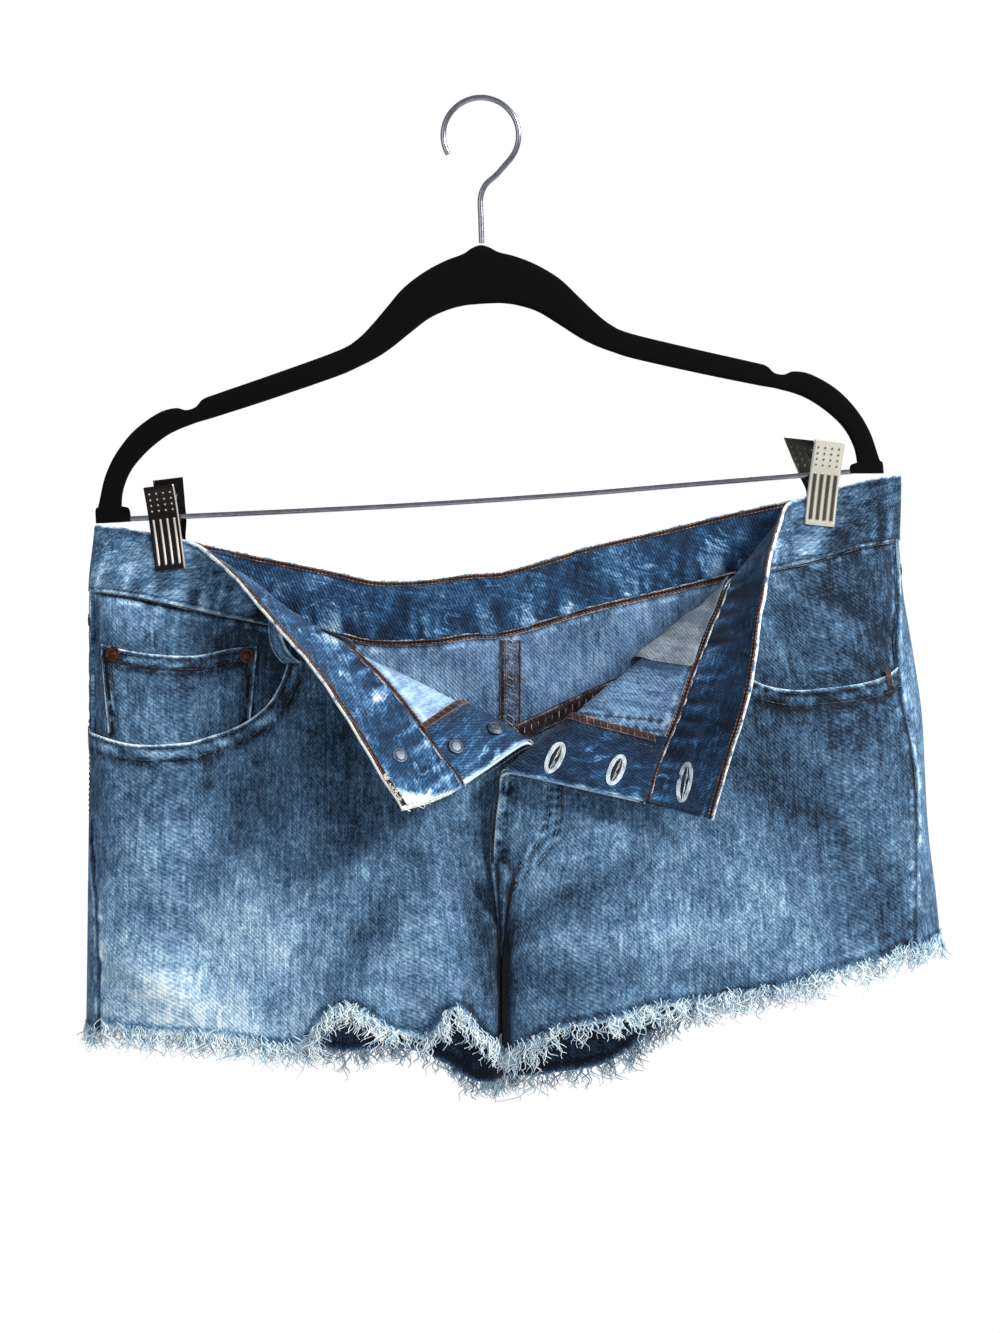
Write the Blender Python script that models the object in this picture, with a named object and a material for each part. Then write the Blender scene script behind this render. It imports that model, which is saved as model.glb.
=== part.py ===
"""Frayed denim shorts, unbuttoned, held by two metal clips on a flocked hanger.

Sizes are in millimetres until MM turns them into metres. X is to the viewer's
right, Z is up, and the front of the shorts faces -Y. The origin is the inside
top of the hanger's hook, where the rail holds it. The hanger's own plane is
Y = 0. "left" and "right" are as the viewer sees them from the front.

Each half of each cloth layer is a surface over a flat pattern (p, z): z is the
height and p runs across, unrolled where the cloth rounds the side or dips into
the crease between the legs. The two fronts also have a fold line, above which
the cloth turns over towards the viewer with its inside out.
"""
from math import cos, exp, hypot, pi, radians, sin, tanh

import bmesh
import bpy
from mathutils import Vector
from mathutils.geometry import delaunay_2d_cdt

MM = 0.001
LEFT, RIGHT = -1, 1
FRONT, BACK = -1, 1

# ---- driving sizes -------------------------------------------------------
DENIM = 1.2                 # one layer of denim
BAND_THICK = 2.4            # waistband, two layers and its seam
BAND_HIGH = 38.0            # waistband height
SEAM_GAP = 0.3              # clearance between pieces at a seam
BAND_GAP = 0.5              # clearance below the waistband
LAYER_GAP = 0.6             # clearance between layers that lie on each other
FACING = 1.0                # fly facings and pocket bags
CREASE_X = 11.5             # crease between the legs
LEG_APART = 0.75            # half the distance between the legs' inner faces
END_REACH = 60.0            # how far in from the side the cloth rounds
LEG_REACH = 55.0            # the same at the crease between the legs
ROUNDING = 2.5              # superellipse power of both roundings
RISE_TOP, CROTCH = -395.0, -508.0
PINCH_WIDE, PINCH_DEEP, PINCH_FLAT = 46.0, 58.0, 0.4
CLIP_X = {LEFT: -179.7, RIGHT: 195.3}
EDGE_P = {LEFT: -224.0, RIGHT: 252.0}    # pattern coordinate of each side edge
EDGE_LIP = 0.12             # how far a panel's edge stays off the crease's own line
WAIST_LEVEL, HEM_LEVEL = -250.0, -520.0  # heights at which x is read for a waist or hem

# ---- how closely the cloth is divided ------------------------------------
GRID = 17.0
SEAM_STEP = 10.0
BEND_STEPS = (0.0, 5.0, 11.0, 18.0, 27.0, 38.0, 52.0)
CLEAR_OF_EDGE, CLEAR_OF_ROLL, ROLL_CLEAR = 5.0, 7.0, 0.7
NEAREST = 0.9               # least distance between two points of a pattern line
ROLL_ROWS, ROLL_STEP, ROLL_START, ROLL_PAST = 9, 9.5, -4.0, 8.0
BAND_ROWS, BAND_STEP, BAND_FINE_STEP = 5, 11.0, 6.0
BAND_FINE = {LEFT: (-64.0, -186.0), RIGHT: (120.0, 204.0)}
LEAN_REACH = 60.0
SHARP_FROM = radians(40)    # edges sharper than this stay creased on round pieces

# Silhouette of the body: height, then x of the sides and of the side seams.
OUTLINE = (
    # z,     left,   right,  seam_left, seam_right
    (-210, -220.0, 240.0, -219.6, 238.0),
    (-245, -220.5, 239.0, -220.1, 237.0),
    (-280, -223.9, 241.0, -223.4, 237.5),
    (-315, -224.0, 246.5, -223.5, 236.0),
    (-350, -223.8, 251.5, -223.2, 238.5),
    (-385, -223.4, 253.5, -222.6, 245.0),
    (-420, -223.8, 255.5, -221.0, 245.5),
    (-455, -224.4, 260.0, -218.0, 245.5),
    (-490, -224.9, 263.0, -216.4, 246.0),
    (-535, -225.6, 263.5, -216.4, 246.0),
)

# Top edge of the waistband laid flat: back, the front with the buttons (left)
# and the front with the buttonholes (right).
WAIST = (
    # x,    back,   buttons, holes
    (-226, -243.3, -243.3, -243.3),
    (-201, -246.0, -246.0, -246.0),
    (-169, -252.3, -252.3, -252.3),
    (-136, -259.2, -259.2, -259.2),
    (-110, -264.4, -264.4, -264.4),
    (-84, -269.6, -269.6, -269.6),
    (-59, -275.0, -274.0, -273.0),
    (-32, -274.5, -275.5, -271.0),
    (-6, -271.0, -275.5, -268.0),
    (11, -270.0, -275.3, -266.5),
    (34, -264.0, -275.3, -263.0),
    (63, -255.2, -262.0, -255.2),
    (106, -245.4, -245.4, -245.4),
    (146, -235.7, -235.7, -235.7),
    (185, -227.6, -227.6, -227.6),
    (219, -218.2, -218.2, -218.2),
    (262, -212.0, -212.0, -212.0),
)

# How far each layer stands from the hanger's plane, by distance below the
# top edge of the waistband.
BELLY = (
    # drop, front, back
    (-40, 6, 5),
    (0, 8, 6),
    (30, 12, 9),
    (60, 18, 13),
    (120, 27, 18),
    (180, 30, 20),
    (240, 26, 18),
    (340, 21, 14),
)

# Cloth edge of the hems, without the fringe.
HEM_LEFT = (
    # x,     front,  back
    (-226, -528.0, -531.0),
    (-190, -533.0, -538.0),
    (-160, -533.6, -540.0),
    (-133, -537.0, -541.5),
    (-110, -540.5, -544.0),
    (-96, -537.0, -546.0),
    (-87, -523.5, -548.0),
    (-77, -517.5, -549.0),
    (-66, -521.0, -547.5),
    (-56, -529.0, -545.5),
    (-41, -534.2, -547.0),
    (-27, -535.0, -552.0),
    (-18, -521.5, -557.0),
    (-12, -518.5, -561.0),
    (-3, -531.0, -565.0),
    (6, -539.5, -565.0),
    (12, -540.5, -562.0),
)
HEM_RIGHT = (
    # x,     front,  back
    (11, -546.5, -561.0),
    (20, -543.5, -561.5),
    (33, -537.0, -561.5),
    (46, -529.5, -560.0),
    (68, -526.0, -556.5),
    (85, -522.0, -548.0),
    (99, -518.3, -537.5),
    (126, -515.6, -524.5),
    (146, -511.8, -518.0),
    (172, -506.6, -511.5),
    (195, -499.7, -504.0),
    (230, -490.5, -493.0),
    (245, -484.0, -487.0),
    (263, -476.0, -480.0),
)

# Places where the hem curls towards the viewer (front) or away (back).
HEM_CURLS = (
    # x, half_width, outward
    (-160, 34, 4.0),
    (-77, 17, 8.0),
    (-40, 14, -3.0),
    (-14, 12, 6.0),
    (60, 30, 5.0),
    (120, 24, -3.0),
    (190, 34, 5.0),
)

# The fold of each front. `start` and `end` are the ends of its visible edge;
# the rows run along it from the start: bow below the straight line, radius of
# the roll and how far the cloth has turned.
FOLDS = {
    LEFT: {
        "start": (-167.0, -252.7), "end": (31.6, -370.0),
        "rows": (
            # along, bow, radius, turn
            (-8, 0.0, 2.5, 0),
            (0, 0.0, 2.5, 35),
            (16, -1.5, 4.0, 88),
            (52, -4.0, 8.0, 112),
            (105, -7.0, 9.0, 124),
            (157, -4.0, 10.0, 144),
            (190, -1.5, 11.0, 154),
            (240, 0.0, 13.0, 158),
        ),
    },
    RIGHT: {
        "start": (182.5, -228.2), "end": (10.9, -387.2),
        "rows": (
            # along, bow, radius, turn
            (-2, 0.0, 2.5, 0),
            (5, -0.5, 2.5, 35),
            (18, -2.5, 4.0, 88),
            (42, -6.0, 6.5, 108),
            (80, -9.0, 7.0, 134),
            (121, -7.0, 6.5, 158),
            (165, -4.0, 6.0, 178),
            (245, 0.0, 5.5, 180),
        ),
    },
}

# Centre front edge of each front laid flat, from the waist down to the crease.
FRONT_EDGE = {
    LEFT: ((33.3, -275.3), (36.6, -290.0), (38.0, -304.0), (36.6, -320.0), (31.6, -370.0),
           (32.0, -402.0), (31.0, -428.0), (26.0, -442.0), (17.0, -454.0), (10.7, -466.0)),
    RIGHT: ((-2.3, -266.8), (4.5, -325.0), (10.9, -387.2), (8.6, -412.0),
            (7.4, -432.0), (8.6, -448.0), (12.3, -466.0)),
}
RECESS = 9.0                # how far the button side lies behind the other
RECESS_FROM, RECESS_TO = -20.0, 8.0
RECESS_TOP, RECESS_END = -448.0, -476.0

# Edge of each front pocket's opening, from the waistband to the side seam.
POCKET_EDGE = {
    LEFT: ((-107.5, -296.0), (-109.6, -322.4), (-115.4, -338.4), (-122.8, -348.8),
           (-136.0, -358.0), (-156.1, -365.4), (-175.6, -368.8), (-195.7, -368.8),
           (-215.2, -364.3), (-223.6, -360.8)),
    RIGHT: ((138.0, -268.0), (140.6, -304.0), (145.8, -324.0), (157.3, -334.4),
            (179.7, -338.4), (211.8, -335.0), (228.4, -330.4), (238.0, -324.0)),
}
FACING_BELOW = 12.0         # how far a pocket facing goes behind the front

COIN_POCKET = ((-216.4, -312.0), (-188.8, -317.3), (-162.4, -318.5), (-141.6, -314.4),
               (-126.9, -313.2), (-130.0, -352.0), (-133.0, -376.0), (-170.0, -381.0),
               (-208.0, -378.0), (-211.2, -362.0))
RIVETS = ((-209.0, -318.0), (-132.4, -318.5))
RIVET_ACROSS = 9.0

BAG_EDGE = {LEFT: -72.0, RIGHT: 88.0}    # inner edge of each pocket bag
BAG_OUT = {LEFT: -96.5, RIGHT: 150.0}   # where it is out of sight
BAG_LOW = {LEFT: -336.0, RIGHT: -338.0}
FLY_WIDE = {LEFT: 43.0, RIGHT: 42.0}     # width of each fly facing
FLY_LOW = {LEFT: -425.0, RIGHT: -436.0}
FLY_RIM = 1.5               # how far a facing's edge stays inside the front's edge

YOKE_CENTRE, YOKE_SIDE = 58.0, 16.0      # yoke height at the centre and the side
BACK_SEAM_X = 17.0                       # centre back seam at the yoke

PATCH_WIDE, PATCH_HIGH, PATCH_POINT, PATCH_TAPER = 136.0, 132.0, 16.0, 7.0
PATCH_X = {LEFT: -92.0, RIGHT: 122.0}
PATCH_TOP = {LEFT: -352.0, RIGHT: -338.0}

LOOP_WIDE, LOOP_THICK, LOOP_LONG, LOOP_ROWS = 11.0, 2.0, 43.0, 7
BELT_LOOPS = (
    # name, layer, x, stand-off
    # name, side, x, how far it stands off, how far below the waist's edge it starts
    ("belt_loop_front_left", FRONT, -105.0, 6.0, 14.0),
    ("belt_loop_front_right", FRONT, 100.0, 4.5, 3.0),
    ("belt_loop_back_left", BACK, -125.0, 3.5, 3.0),
    ("belt_loop_back_centre", BACK, 17.0, 3.5, 3.0),
    ("belt_loop_back_right", BACK, 150.0, 3.5, 3.0),
)

BUTTONS = (
    # name, x, z, head diameter, layers under it
    ("waist_button", 4.5, -291.0, 17.0, BAND_THICK),
    ("fly_button_1", 15.5, -319.5, 14.0, DENIM),
    ("fly_button_2", 18.0, -343.5, 14.0, DENIM),
)
TACK_ACROSS = 9.0
SHANK_GAP = 0.8             # clearance of a button's shank, for the cloth's bend under it
RIVET_GAP = 0.4

STRANDS = {(FRONT, LEFT): 46, (FRONT, RIGHT): 48, (BACK, LEFT): 46, (BACK, RIGHT): 48}
FRINGE_STRIP = 2.6
STRAND_LENGTHS = (11.0, 14.5, 9.0, 13.0, 16.0, 10.0, 12.5)
STRAND_SWAY = (1.2, -1.6, 0.4, 2.2, -0.8, -2.4, 1.0, -0.3, 1.8)

# ---- hanger --------------------------------------------------------------
HANGER_TILT = radians(3.4)
NECK = (-0.4, -83.0)
ARM_SPAN = {LEFT: 1.013, RIGHT: 0.985}
BODY_THICK = 5.4
ARM = (
    # outer_x, outer_z, inner_x, inner_z: the two edges of one arm, from the
    # centre to its tip, before the hanger is tilted
    (0.0, 0.0, 0.0, -33.8),
    (5.0, -1.5, 5.0, -33.9),
    (10.4, -4.6, 11.0, -34.2),
    (20.4, -7.8, 20.0, -36.0),
    (32.4, -13.4, 31.0, -40.2),
    (45.0, -22.0, 42.0, -47.6),
    (55.5, -33.0, 54.0, -56.2),
    (64.0, -42.0, 63.0, -61.4),
    (72.5, -49.6, 73.0, -65.8),
    (84.0, -55.6, 86.0, -70.6),
    (120.0, -66.5, 122.0, -80.8),
    (154.0, -76.2, 154.0, -89.2),
    (162.0, -78.9, 161.5, -91.0),
    (166.5, -83.2, 166.0, -92.0),
    (172.0, -84.5, 170.5, -93.4),
    (178.0, -83.0, 176.5, -95.4),
    (188.0, -85.4, 185.0, -99.4),
    (202.0, -94.5, 196.0, -107.6),
    (213.0, -107.0, 205.0, -117.4),
    (220.0, -120.0, 210.0, -128.0),
    (223.8, -133.0, 211.4, -136.4),
    (225.0, -137.0, 210.8, -137.6),
    (226.6, -138.8, 207.4, -139.2),
    (226.8, -146.5, 206.6, -146.5),
)
TIP_CUT = {LEFT: -242.8, RIGHT: -214.0}   # lowest point of each arm's tip

WIRE = 3.3
HOOK_INSIDE = 20.0
HOOK_CENTRE_Z = -20.0
HOOK_FROM, HOOK_TO = -40.0, 210.0        # degrees about the hook's centre
SHANK = ((0.4, -81.8), (0.0, -68.0), (-0.2, -56.0), (2.6, -48.5), (9.0, -42.5))
ROD = 3.0
ROD_LINE = (
    # x, z: the rod sags a little between the clips
    (-199.8, -240.1),
    (-154.0, -238.0),
    (-90.0, -234.9),
    (-26.0, -231.4),
    (54.0, -226.0),
    (111.0, -221.2),
    (167.0, -216.6),
    (211.0, -213.1),
)

CLIP_WIDE, CLIP_THICK, CLIP_LEAN = 17.4, 0.9, {LEFT: radians(-7.0), RIGHT: radians(6.0)}
CLIP_ROD_X = {LEFT: -181.6, RIGHT: 197.0}
CLIP_ROD_Z = {LEFT: -238.9, RIGHT: -213.4}
# a plate's height about the rod, distance from the hanger's plane, shift sideways
FRONT_PLATE = (
    (-31.0, 3.5, 0.0),
    (-12.5, 3.5, 0.0),
    (-4.0, 4.6, 0.0),
    (6.0, 7.0, 0.0),
    (17.0, 12.5, 0.0),
)
BACK_PLATE = {
    LEFT: (
        (-31.0, 3.5, 0.0),
        (-12.5, 3.5, 1.6),
        (-4.0, 4.6, 3.0),
        (6.0, 7.0, 3.2),
        (22.5, 14.5, 3.0),
    ),
    RIGHT: (
        (-31.0, 3.5, 0.0),
        (-12.5, 3.5, 0.0),
        (-4.0, 4.6, -4.4),
        (6.0, 7.0, -9.6),
        (18.6, 13.0, -15.5),
    ),
}


# ---- small helpers -------------------------------------------------------
def smoothstep(value):
    value = min(max(value, 0.0), 1.0)
    return value * value * (3 - 2 * value)


def read(rows, at, column):
    """A smooth curve through one column of a table, read at a value of its first."""
    if at <= rows[0][0]:
        return rows[0][column]
    if at >= rows[-1][0]:
        return rows[-1][column]
    high = next(i for i, row in enumerate(rows) if row[0] > at)
    low = high - 1

    def slope(i):
        before, after = rows[max(i - 1, 0)], rows[min(i + 1, len(rows) - 1)]
        return (after[column] - before[column]) / (after[0] - before[0])

    span = rows[high][0] - rows[low][0]
    t = (at - rows[low][0]) / span
    return ((1 + 2 * t) * (1 - t) ** 2 * rows[low][column]
            + t * (1 - t) ** 2 * span * slope(low)
            + t * t * (3 - 2 * t) * rows[high][column]
            - t * t * (1 - t) * span * slope(high))


def down(rows, z, column):
    """The same for a table whose first column falls."""
    return read([(-row[0],) + tuple(row[1:]) for row in rows], -z, column)


def span(start, stop, step):
    """Even values from start to stop, about `step` apart."""
    parts = max(1, round(abs(stop - start) / step))
    return [start + (stop - start) * i / parts for i in range(parts + 1)]


# ---- the shape of the cloth ----------------------------------------------
def edge_x(z, half):
    return down(OUTLINE, z, 1 if half == LEFT else 2)


def seam_x(z, half):
    return down(OUTLINE, z, 3 if half == LEFT else 4)


def waist_z(x, layer, half):
    column = 1 if layer == BACK else (2 if half == LEFT else 3)
    return read(WAIST, x, column)


def hem_z(x, layer, half):
    return read(HEM_LEFT if half == LEFT else HEM_RIGHT, x, 1 if layer == FRONT else 2)


def rounding(share):
    share = min(max(share, 0.0), 1.0)
    return (1 - (1 - share) ** ROUNDING) ** (1 / ROUNDING)


def section(x, z, half):
    """Share of its full depth that a layer has at x, on one half of the body."""
    outer = rounding((x - edge_x(z, half)) * -half / END_REACH)
    inner = rounding((x - CREASE_X - half * LEG_APART) * half / LEG_REACH)
    close = smoothstep((RISE_TOP - z) / (RISE_TOP - CROTCH))
    return outer * (1 - close * (1 - inner))


def pinch(x, z, layer, half):
    """0 where a clip holds both layers together, 1 away from the clips."""
    drop = max(waist_z(x, layer, half) - z, 0.0)
    free = 1.0
    for clip_x in CLIP_X.values():
        reach = (((x - clip_x) / PINCH_WIDE) ** 4 + (drop / PINCH_DEEP) ** 4) ** 0.25
        free *= smoothstep((reach - PINCH_FLAT) / (1 - PINCH_FLAT))
    return free


def curls(x, z, layer, half):
    near = smoothstep(1 - (z - hem_z(x, layer, half)) / 60.0)
    total = sum(out * exp(-((x - cx) / wide) ** 2) for cx, wide, out in HEM_CURLS)
    return near * total * (1.0 if layer == FRONT else 0.4)


def depth(x, z, layer, half):
    """Y of the middle of a layer at (x, z)."""
    share = section(x, z, half)
    drop = waist_z(x, layer, half) - z
    belly = read(BELLY, drop, 1 if layer == FRONT else 2) * pinch(x, z, layer, half)
    rest = (BAND_THICK / 2 + SEAM_GAP) * tanh(4 * share)
    out = rest + (belly + curls(x, z, layer, half)) * share
    if layer == FRONT and half == LEFT:
        shelf = smoothstep((x - RECESS_FROM) / (RECESS_TO - RECESS_FROM))
        out -= RECESS * shelf * smoothstep((z - RECESS_END) / (RECESS_TOP - RECESS_END))
    return layer * out


def roll_x(p, z, half):
    """x of pattern coordinate p, which is unrolled at the side and the crease."""
    limit = CREASE_X + half * LEG_APART
    edge, edge_p = edge_x(z, half), EDGE_P[half]
    inward = (p - edge_p) * -half
    if inward < END_REACH:
        turn = abs(inward) / END_REACH * pi / 2
        return edge - half * END_REACH * (1 - cos(turn) ** (2 / ROUNDING))
    fade = (limit - p) * -half / ((limit - edge_p) * -half - END_REACH)
    shifted = p + (edge - edge_p) * min(max(fade, 0.0), 1.0)
    off = (p - limit) * half
    if 0 < off < LEG_REACH:
        close = smoothstep((RISE_TOP - z) / (RISE_TOP - CROTCH))
        turned = LEG_REACH * (1 - cos(off / LEG_REACH * pi / 2) ** (2 / ROUNDING))
        shifted += half * close * (turned - off)
    return shifted


def unroll(x, z, half):
    """Pattern coordinate of x on the side's own half."""
    low = EDGE_P[half] if half == LEFT else CREASE_X - 60
    high = CREASE_X + 60 if half == LEFT else EDGE_P[half]
    for _ in range(40):
        middle = (low + high) / 2
        if roll_x(middle, z, half) < x:
            low = middle
        else:
            high = middle
    return (low + high) / 2


def fold_line(half):
    """Start of a front's fold, its direction and the direction across it, and its length."""
    (sx, sz), (ex, ez) = FOLDS[half]["start"], FOLDS[half]["end"]
    length = hypot(ex - sx, ez - sz)
    ux, uz = (ex - sx) / length, (ez - sz) / length
    return (sx, sz), (ux, uz), (uz * half, -ux * half), length


def fold_at(x, z, half):
    """How far (x, z) lies past the beginning of the fold's roll, its radius and its turn."""
    (sx, sz), (ux, uz), (nx, nz), _ = fold_line(half)
    rows = FOLDS[half]["rows"]
    s = (x - sx) * ux + (z - sz) * uz
    radius = read(rows, s, 2)
    over = (x - sx) * nx + (z - sz) * nz - read(rows, s, 1) + radius
    return over, radius, radians(read(rows, s, 3))


def folded(x, z, half):
    """Turns what lies above the front's fold line over towards the viewer."""
    over, radius, turn = fold_at(x, z, half)
    if over <= 0 or turn <= 0.01:
        return x, z, 0.0
    nx, nz = fold_line(half)[2]
    bent = min(over / radius, turn)
    rest = over - bent * radius
    reach = radius * sin(bent) + rest * cos(turn)
    lift = radius * (1 - cos(bent)) + rest * sin(turn)
    return x + nx * (reach - over), z + nz * (reach - over), lift


def cloth_point(p, z, layer, half):
    """Middle of the cloth over pattern point (p, z)."""
    x = roll_x(p, z, half)
    wrapped = (p - EDGE_P[half]) * half > 0
    if layer == BACK:
        side = FRONT if wrapped else BACK
        return Vector((x, depth(x, z, side, half), z))
    x, z, lift = folded(x, z, half)
    return Vector((x, depth(x, z, FRONT, half) - lift, z))


def cloth_frame(p, z, layer, half):
    """The point and the outward normal of the cloth there."""
    e = 0.35
    across = cloth_point(p + e, z, layer, half) - cloth_point(p - e, z, layer, half)
    upward = cloth_point(p, z + e, layer, half) - cloth_point(p, z - e, layer, half)
    normal = across.cross(upward) if layer == FRONT else upward.cross(across)
    return cloth_point(p, z, layer, half), normal.normalized()


# ---- mesh makers ---------------------------------------------------------
def finish(name, mesh_data, look):
    """Turns points in millimetres and faces into a named object."""
    points, faces = mesh_data
    bm = bmesh.new()
    verts = [bm.verts.new(Vector(point) * MM) for point in points]
    for face in faces:
        bm.faces.new([verts[i] for i in face])
    bmesh.ops.recalc_face_normals(bm, faces=bm.faces)
    mesh = bpy.data.meshes.new(name)
    bm.to_mesh(mesh)
    bm.free()
    mesh.materials.append(look)
    obj = bpy.data.objects.new(name, mesh)
    bpy.context.collection.objects.link(obj)
    return obj


def swept(rings):
    """Points and faces of a solid swept through rings of equal length."""
    size = len(rings[0])
    points = [point for ring in rings for point in ring]
    faces = []
    for i in range(len(rings) - 1):
        for k in range(size):
            a, b = i * size + k, i * size + (k + 1) % size
            faces.append((a, b, b + size, a + size))
    faces.append(tuple(reversed(range(size))))
    faces.append(tuple(range((len(rings) - 1) * size, len(rings) * size)))
    return points, faces


def ring_of(place, axis, radius, sides):
    side = axis.orthogonal().normalized()
    other = axis.cross(side)
    turns = [2 * pi * k / sides for k in range(sides)]
    return [place + (side * cos(turn) + other * sin(turn)) * radius for turn in turns]


def shade_round(obj):
    """Smooth shading, with creases kept where faces meet at a real edge."""
    obj.data.shade_smooth()
    obj.data.set_sharp_from_angle(angle=SHARP_FROM)


def lathe(name, look, place, axis, profile, sides):
    """A turned piece: profile rows are (height along the axis, radius)."""
    rings = [ring_of(place + axis * height, axis, radius, sides) for height, radius in profile]
    shade_round(finish(name, swept(rings), look))


def inside(point, polygon):
    x, z = point
    hit = False
    for (ax, az), (bx, bz) in zip(polygon, polygon[1:] + polygon[:1]):
        if (az > z) != (bz > z) and x < ax + (z - az) / (bz - az) * (bx - ax):
            hit = not hit
    return hit


def off_line(point, polygon):
    """Distance from a point to a polygon's edges."""
    x, z = point
    best = 1e9
    for (ax, az), (bx, bz) in zip(polygon, polygon[1:] + polygon[:1]):
        dx, dz = bx - ax, bz - az
        t = ((x - ax) * dx + (z - az) * dz) / max(dx * dx + dz * dz, 1e-9)
        t = min(max(t, 0.0), 1.0)
        best = min(best, hypot(x - ax - t * dx, z - az - t * dz))
    return best


def columns(half):
    """Pattern columns shared by all pieces of a half, close where the cloth bends."""
    edge, crease = EDGE_P[half], CREASE_X + half * LEG_APART
    out = [edge + half * step for step in BEND_STEPS[1:]] + [edge - half * step for step in BEND_STEPS]
    out += [crease + half * step for step in BEND_STEPS] + [crease - half * GRID, crease - half * 2 * GRID]
    start, stop = sorted((edge - half * BEND_STEPS[-1], crease + half * BEND_STEPS[-1]))
    out += span(start, stop, GRID)[1:-1]
    return sorted(out)


def roll_points(half):
    """Pattern points in rows along the roll of a front's fold."""
    (sx, sz), (ux, uz), (nx, nz), length = fold_line(half)
    rows = FOLDS[half]["rows"]
    out = []
    for s in span(ROLL_START, length + ROLL_PAST, ROLL_STEP):
        radius = read(rows, s, 2)
        begin = read(rows, s, 1) - radius
        arc = radius * radians(read(rows, s, 3))
        for k in range(ROLL_ROWS + 1):
            d = begin + arc * k / ROLL_ROWS
            x, z = sx + ux * s + nx * d, sz + uz * s + nz * d
            out.append((unroll(x, z, half), z))
    return out


def roll_row(p, z, half):
    """Row of the roll that a front's pattern point lies on: 0 is its beginning."""
    over, radius, turn = fold_at(roll_x(p, z, half), z, half)
    return over / (radius * turn) * ROLL_ROWS if turn > 0.01 else -1.0


def divided(points, layer, half):
    """Adds points to a pattern line where it crosses columns or roll rows, or runs far."""
    out = []
    for (ax, az), (bx, bz) in zip(points, points[1:]):
        length = hypot(bx - ax, bz - az)
        shares = [0.0, 1.0]
        if abs(bx - ax) > 3.0:
            shares += [(column - ax) / (bx - ax) for column in columns(half)]
        if layer == FRONT:
            steps = span(0.0, 1.0, 1.0 / length)
            rows = [roll_row(ax + (bx - ax) * t, az + (bz - az) * t, half) for t in steps]
            for t, after, row, next_row in zip(steps, steps[1:], rows, rows[1:]):
                shares += [t + (after - t) * (k - row) / (next_row - row)
                           for k in range(ROLL_ROWS + 1) if (row < k) != (next_row < k)]
        cuts = [0.0]
        for t in sorted(shares):
            if t - cuts[-1] > NEAREST / length and (t == 1.0 or 1.0 - t > NEAREST / length):
                parts = max(1, round((t - cuts[-1]) * length / GRID))
                start = cuts[-1]
                cuts += [start + (t - start) * (i + 1) / parts for i in range(parts)]
        out += [(ax + (bx - ax) * t, az + (bz - az) * t) for t in cuts if t < 1.0]
    return out + points[-1:]


def outline_of(layer, half, *runs):
    """Joins runs of pattern points; every second run is divided as the cloth bends."""
    out = []
    for i, run in enumerate(runs):
        if i % 2 == 0:
            out += run
        else:
            out += divided([out[-1]] + run + [runs[(i + 1) % len(runs)][0]], layer, half)[1:-1]
    return out


def cloth_piece(name, look, layer, half, outline, inner, outer):
    """A closed wall over a pattern outline, between two offsets from the cloth's middle."""
    def within(q, clear):
        return inside(q, outline) and off_line(q, outline) > clear

    lows, highs = min(q[1] for q in outline), max(q[1] for q in outline)
    rolled = roll_points(half) if layer == FRONT else []
    rolled = [q for q in rolled if within(q, ROLL_CLEAR)]
    rows = range(int(lows / GRID) - 1, int(highs / GRID) + 1)
    lattice = [(p, row * GRID) for row in rows for p in columns(half)]
    lattice = [q for q in lattice if within(q, CLEAR_OF_EDGE)
               and all(hypot(q[0] - r[0], q[1] - r[1]) > CLEAR_OF_ROLL for r in rolled)]
    count = len(outline)
    flat = [Vector(q) for q in outline + rolled + lattice]
    edges = [(i, (i + 1) % count) for i in range(count)]
    flat, _, triangles, *_ = delaunay_2d_cdt(flat, edges, [], 1, 1e-5)
    frames = [cloth_frame(q.x, q.y, layer, half) for q in flat]
    points = [place + normal * outer for place, normal in frames]
    points += [place + normal * inner for place, normal in frames]
    total = len(flat)
    faces = [tuple(t) for t in triangles] + [tuple(i + total for i in reversed(t)) for t in triangles]
    used = {(a, b) for t in triangles for a, b in zip(t, list(t[1:]) + [t[0]])}
    faces += [(b, a, a + total, b + total) for a, b in used if (b, a) not in used]
    return finish(name, (points, faces), look)


def material(name, colour, roughness, metallic=0.0):
    made = bpy.data.materials.new(name)
    made.use_nodes = True
    shader = made.node_tree.nodes["Principled BSDF"]
    shader.inputs["Base Color"].default_value = (*colour, 1)
    shader.inputs["Roughness"].default_value = roughness
    shader.inputs["Metallic"].default_value = metallic
    made.diffuse_color = (*colour, 1)
    return made


# ---- seam lines, in the pattern ------------------------------------------
def side_name(base, half):
    return base + ("_left" if half == LEFT else "_right")


def edge_at(points, z):
    """x of a falling line of (x, z) points at a height."""
    for (ax, az), (bx, bz) in zip(points, points[1:]):
        if bz <= z <= az:
            return ax + (bx - ax) * (az - z) / (az - bz)
    return points[0][0] if z > points[0][1] else points[-1][0]


def end_p(layer, half):
    """Where a half's part of the waistband begins: centre front or centre back."""
    return FRONT_EDGE[half][0][0] if layer == FRONT else CREASE_X


def band_line(p, layer, half, share):
    """Pattern point of the waistband at p: share 0 is its top edge, 1 its lower edge."""
    top = waist_z(roll_x(p, WAIST_LEVEL, half), layer, half)
    z = top - BAND_HIGH * share
    if layer == BACK:
        return p, z
    edge = FRONT_EDGE[half]
    lean = edge_at(edge, z) - edge_at(edge, top)
    return p + lean * smoothstep(1 - abs(p - edge[0][0]) / LEAN_REACH), z


def bend_steps(half):
    """Steps in from a side edge, with one of them moved to the side seam."""
    z = waist_z(edge_x(WAIST_LEVEL, half), BACK, half) - BAND_HIGH - BAND_GAP
    seam = (EDGE_P[half] - seam_p(z, half)) * half
    nearest = min(BEND_STEPS[1:], key=lambda step: abs(step - seam))
    return [seam if step == nearest else step for step in BEND_STEPS]


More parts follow.
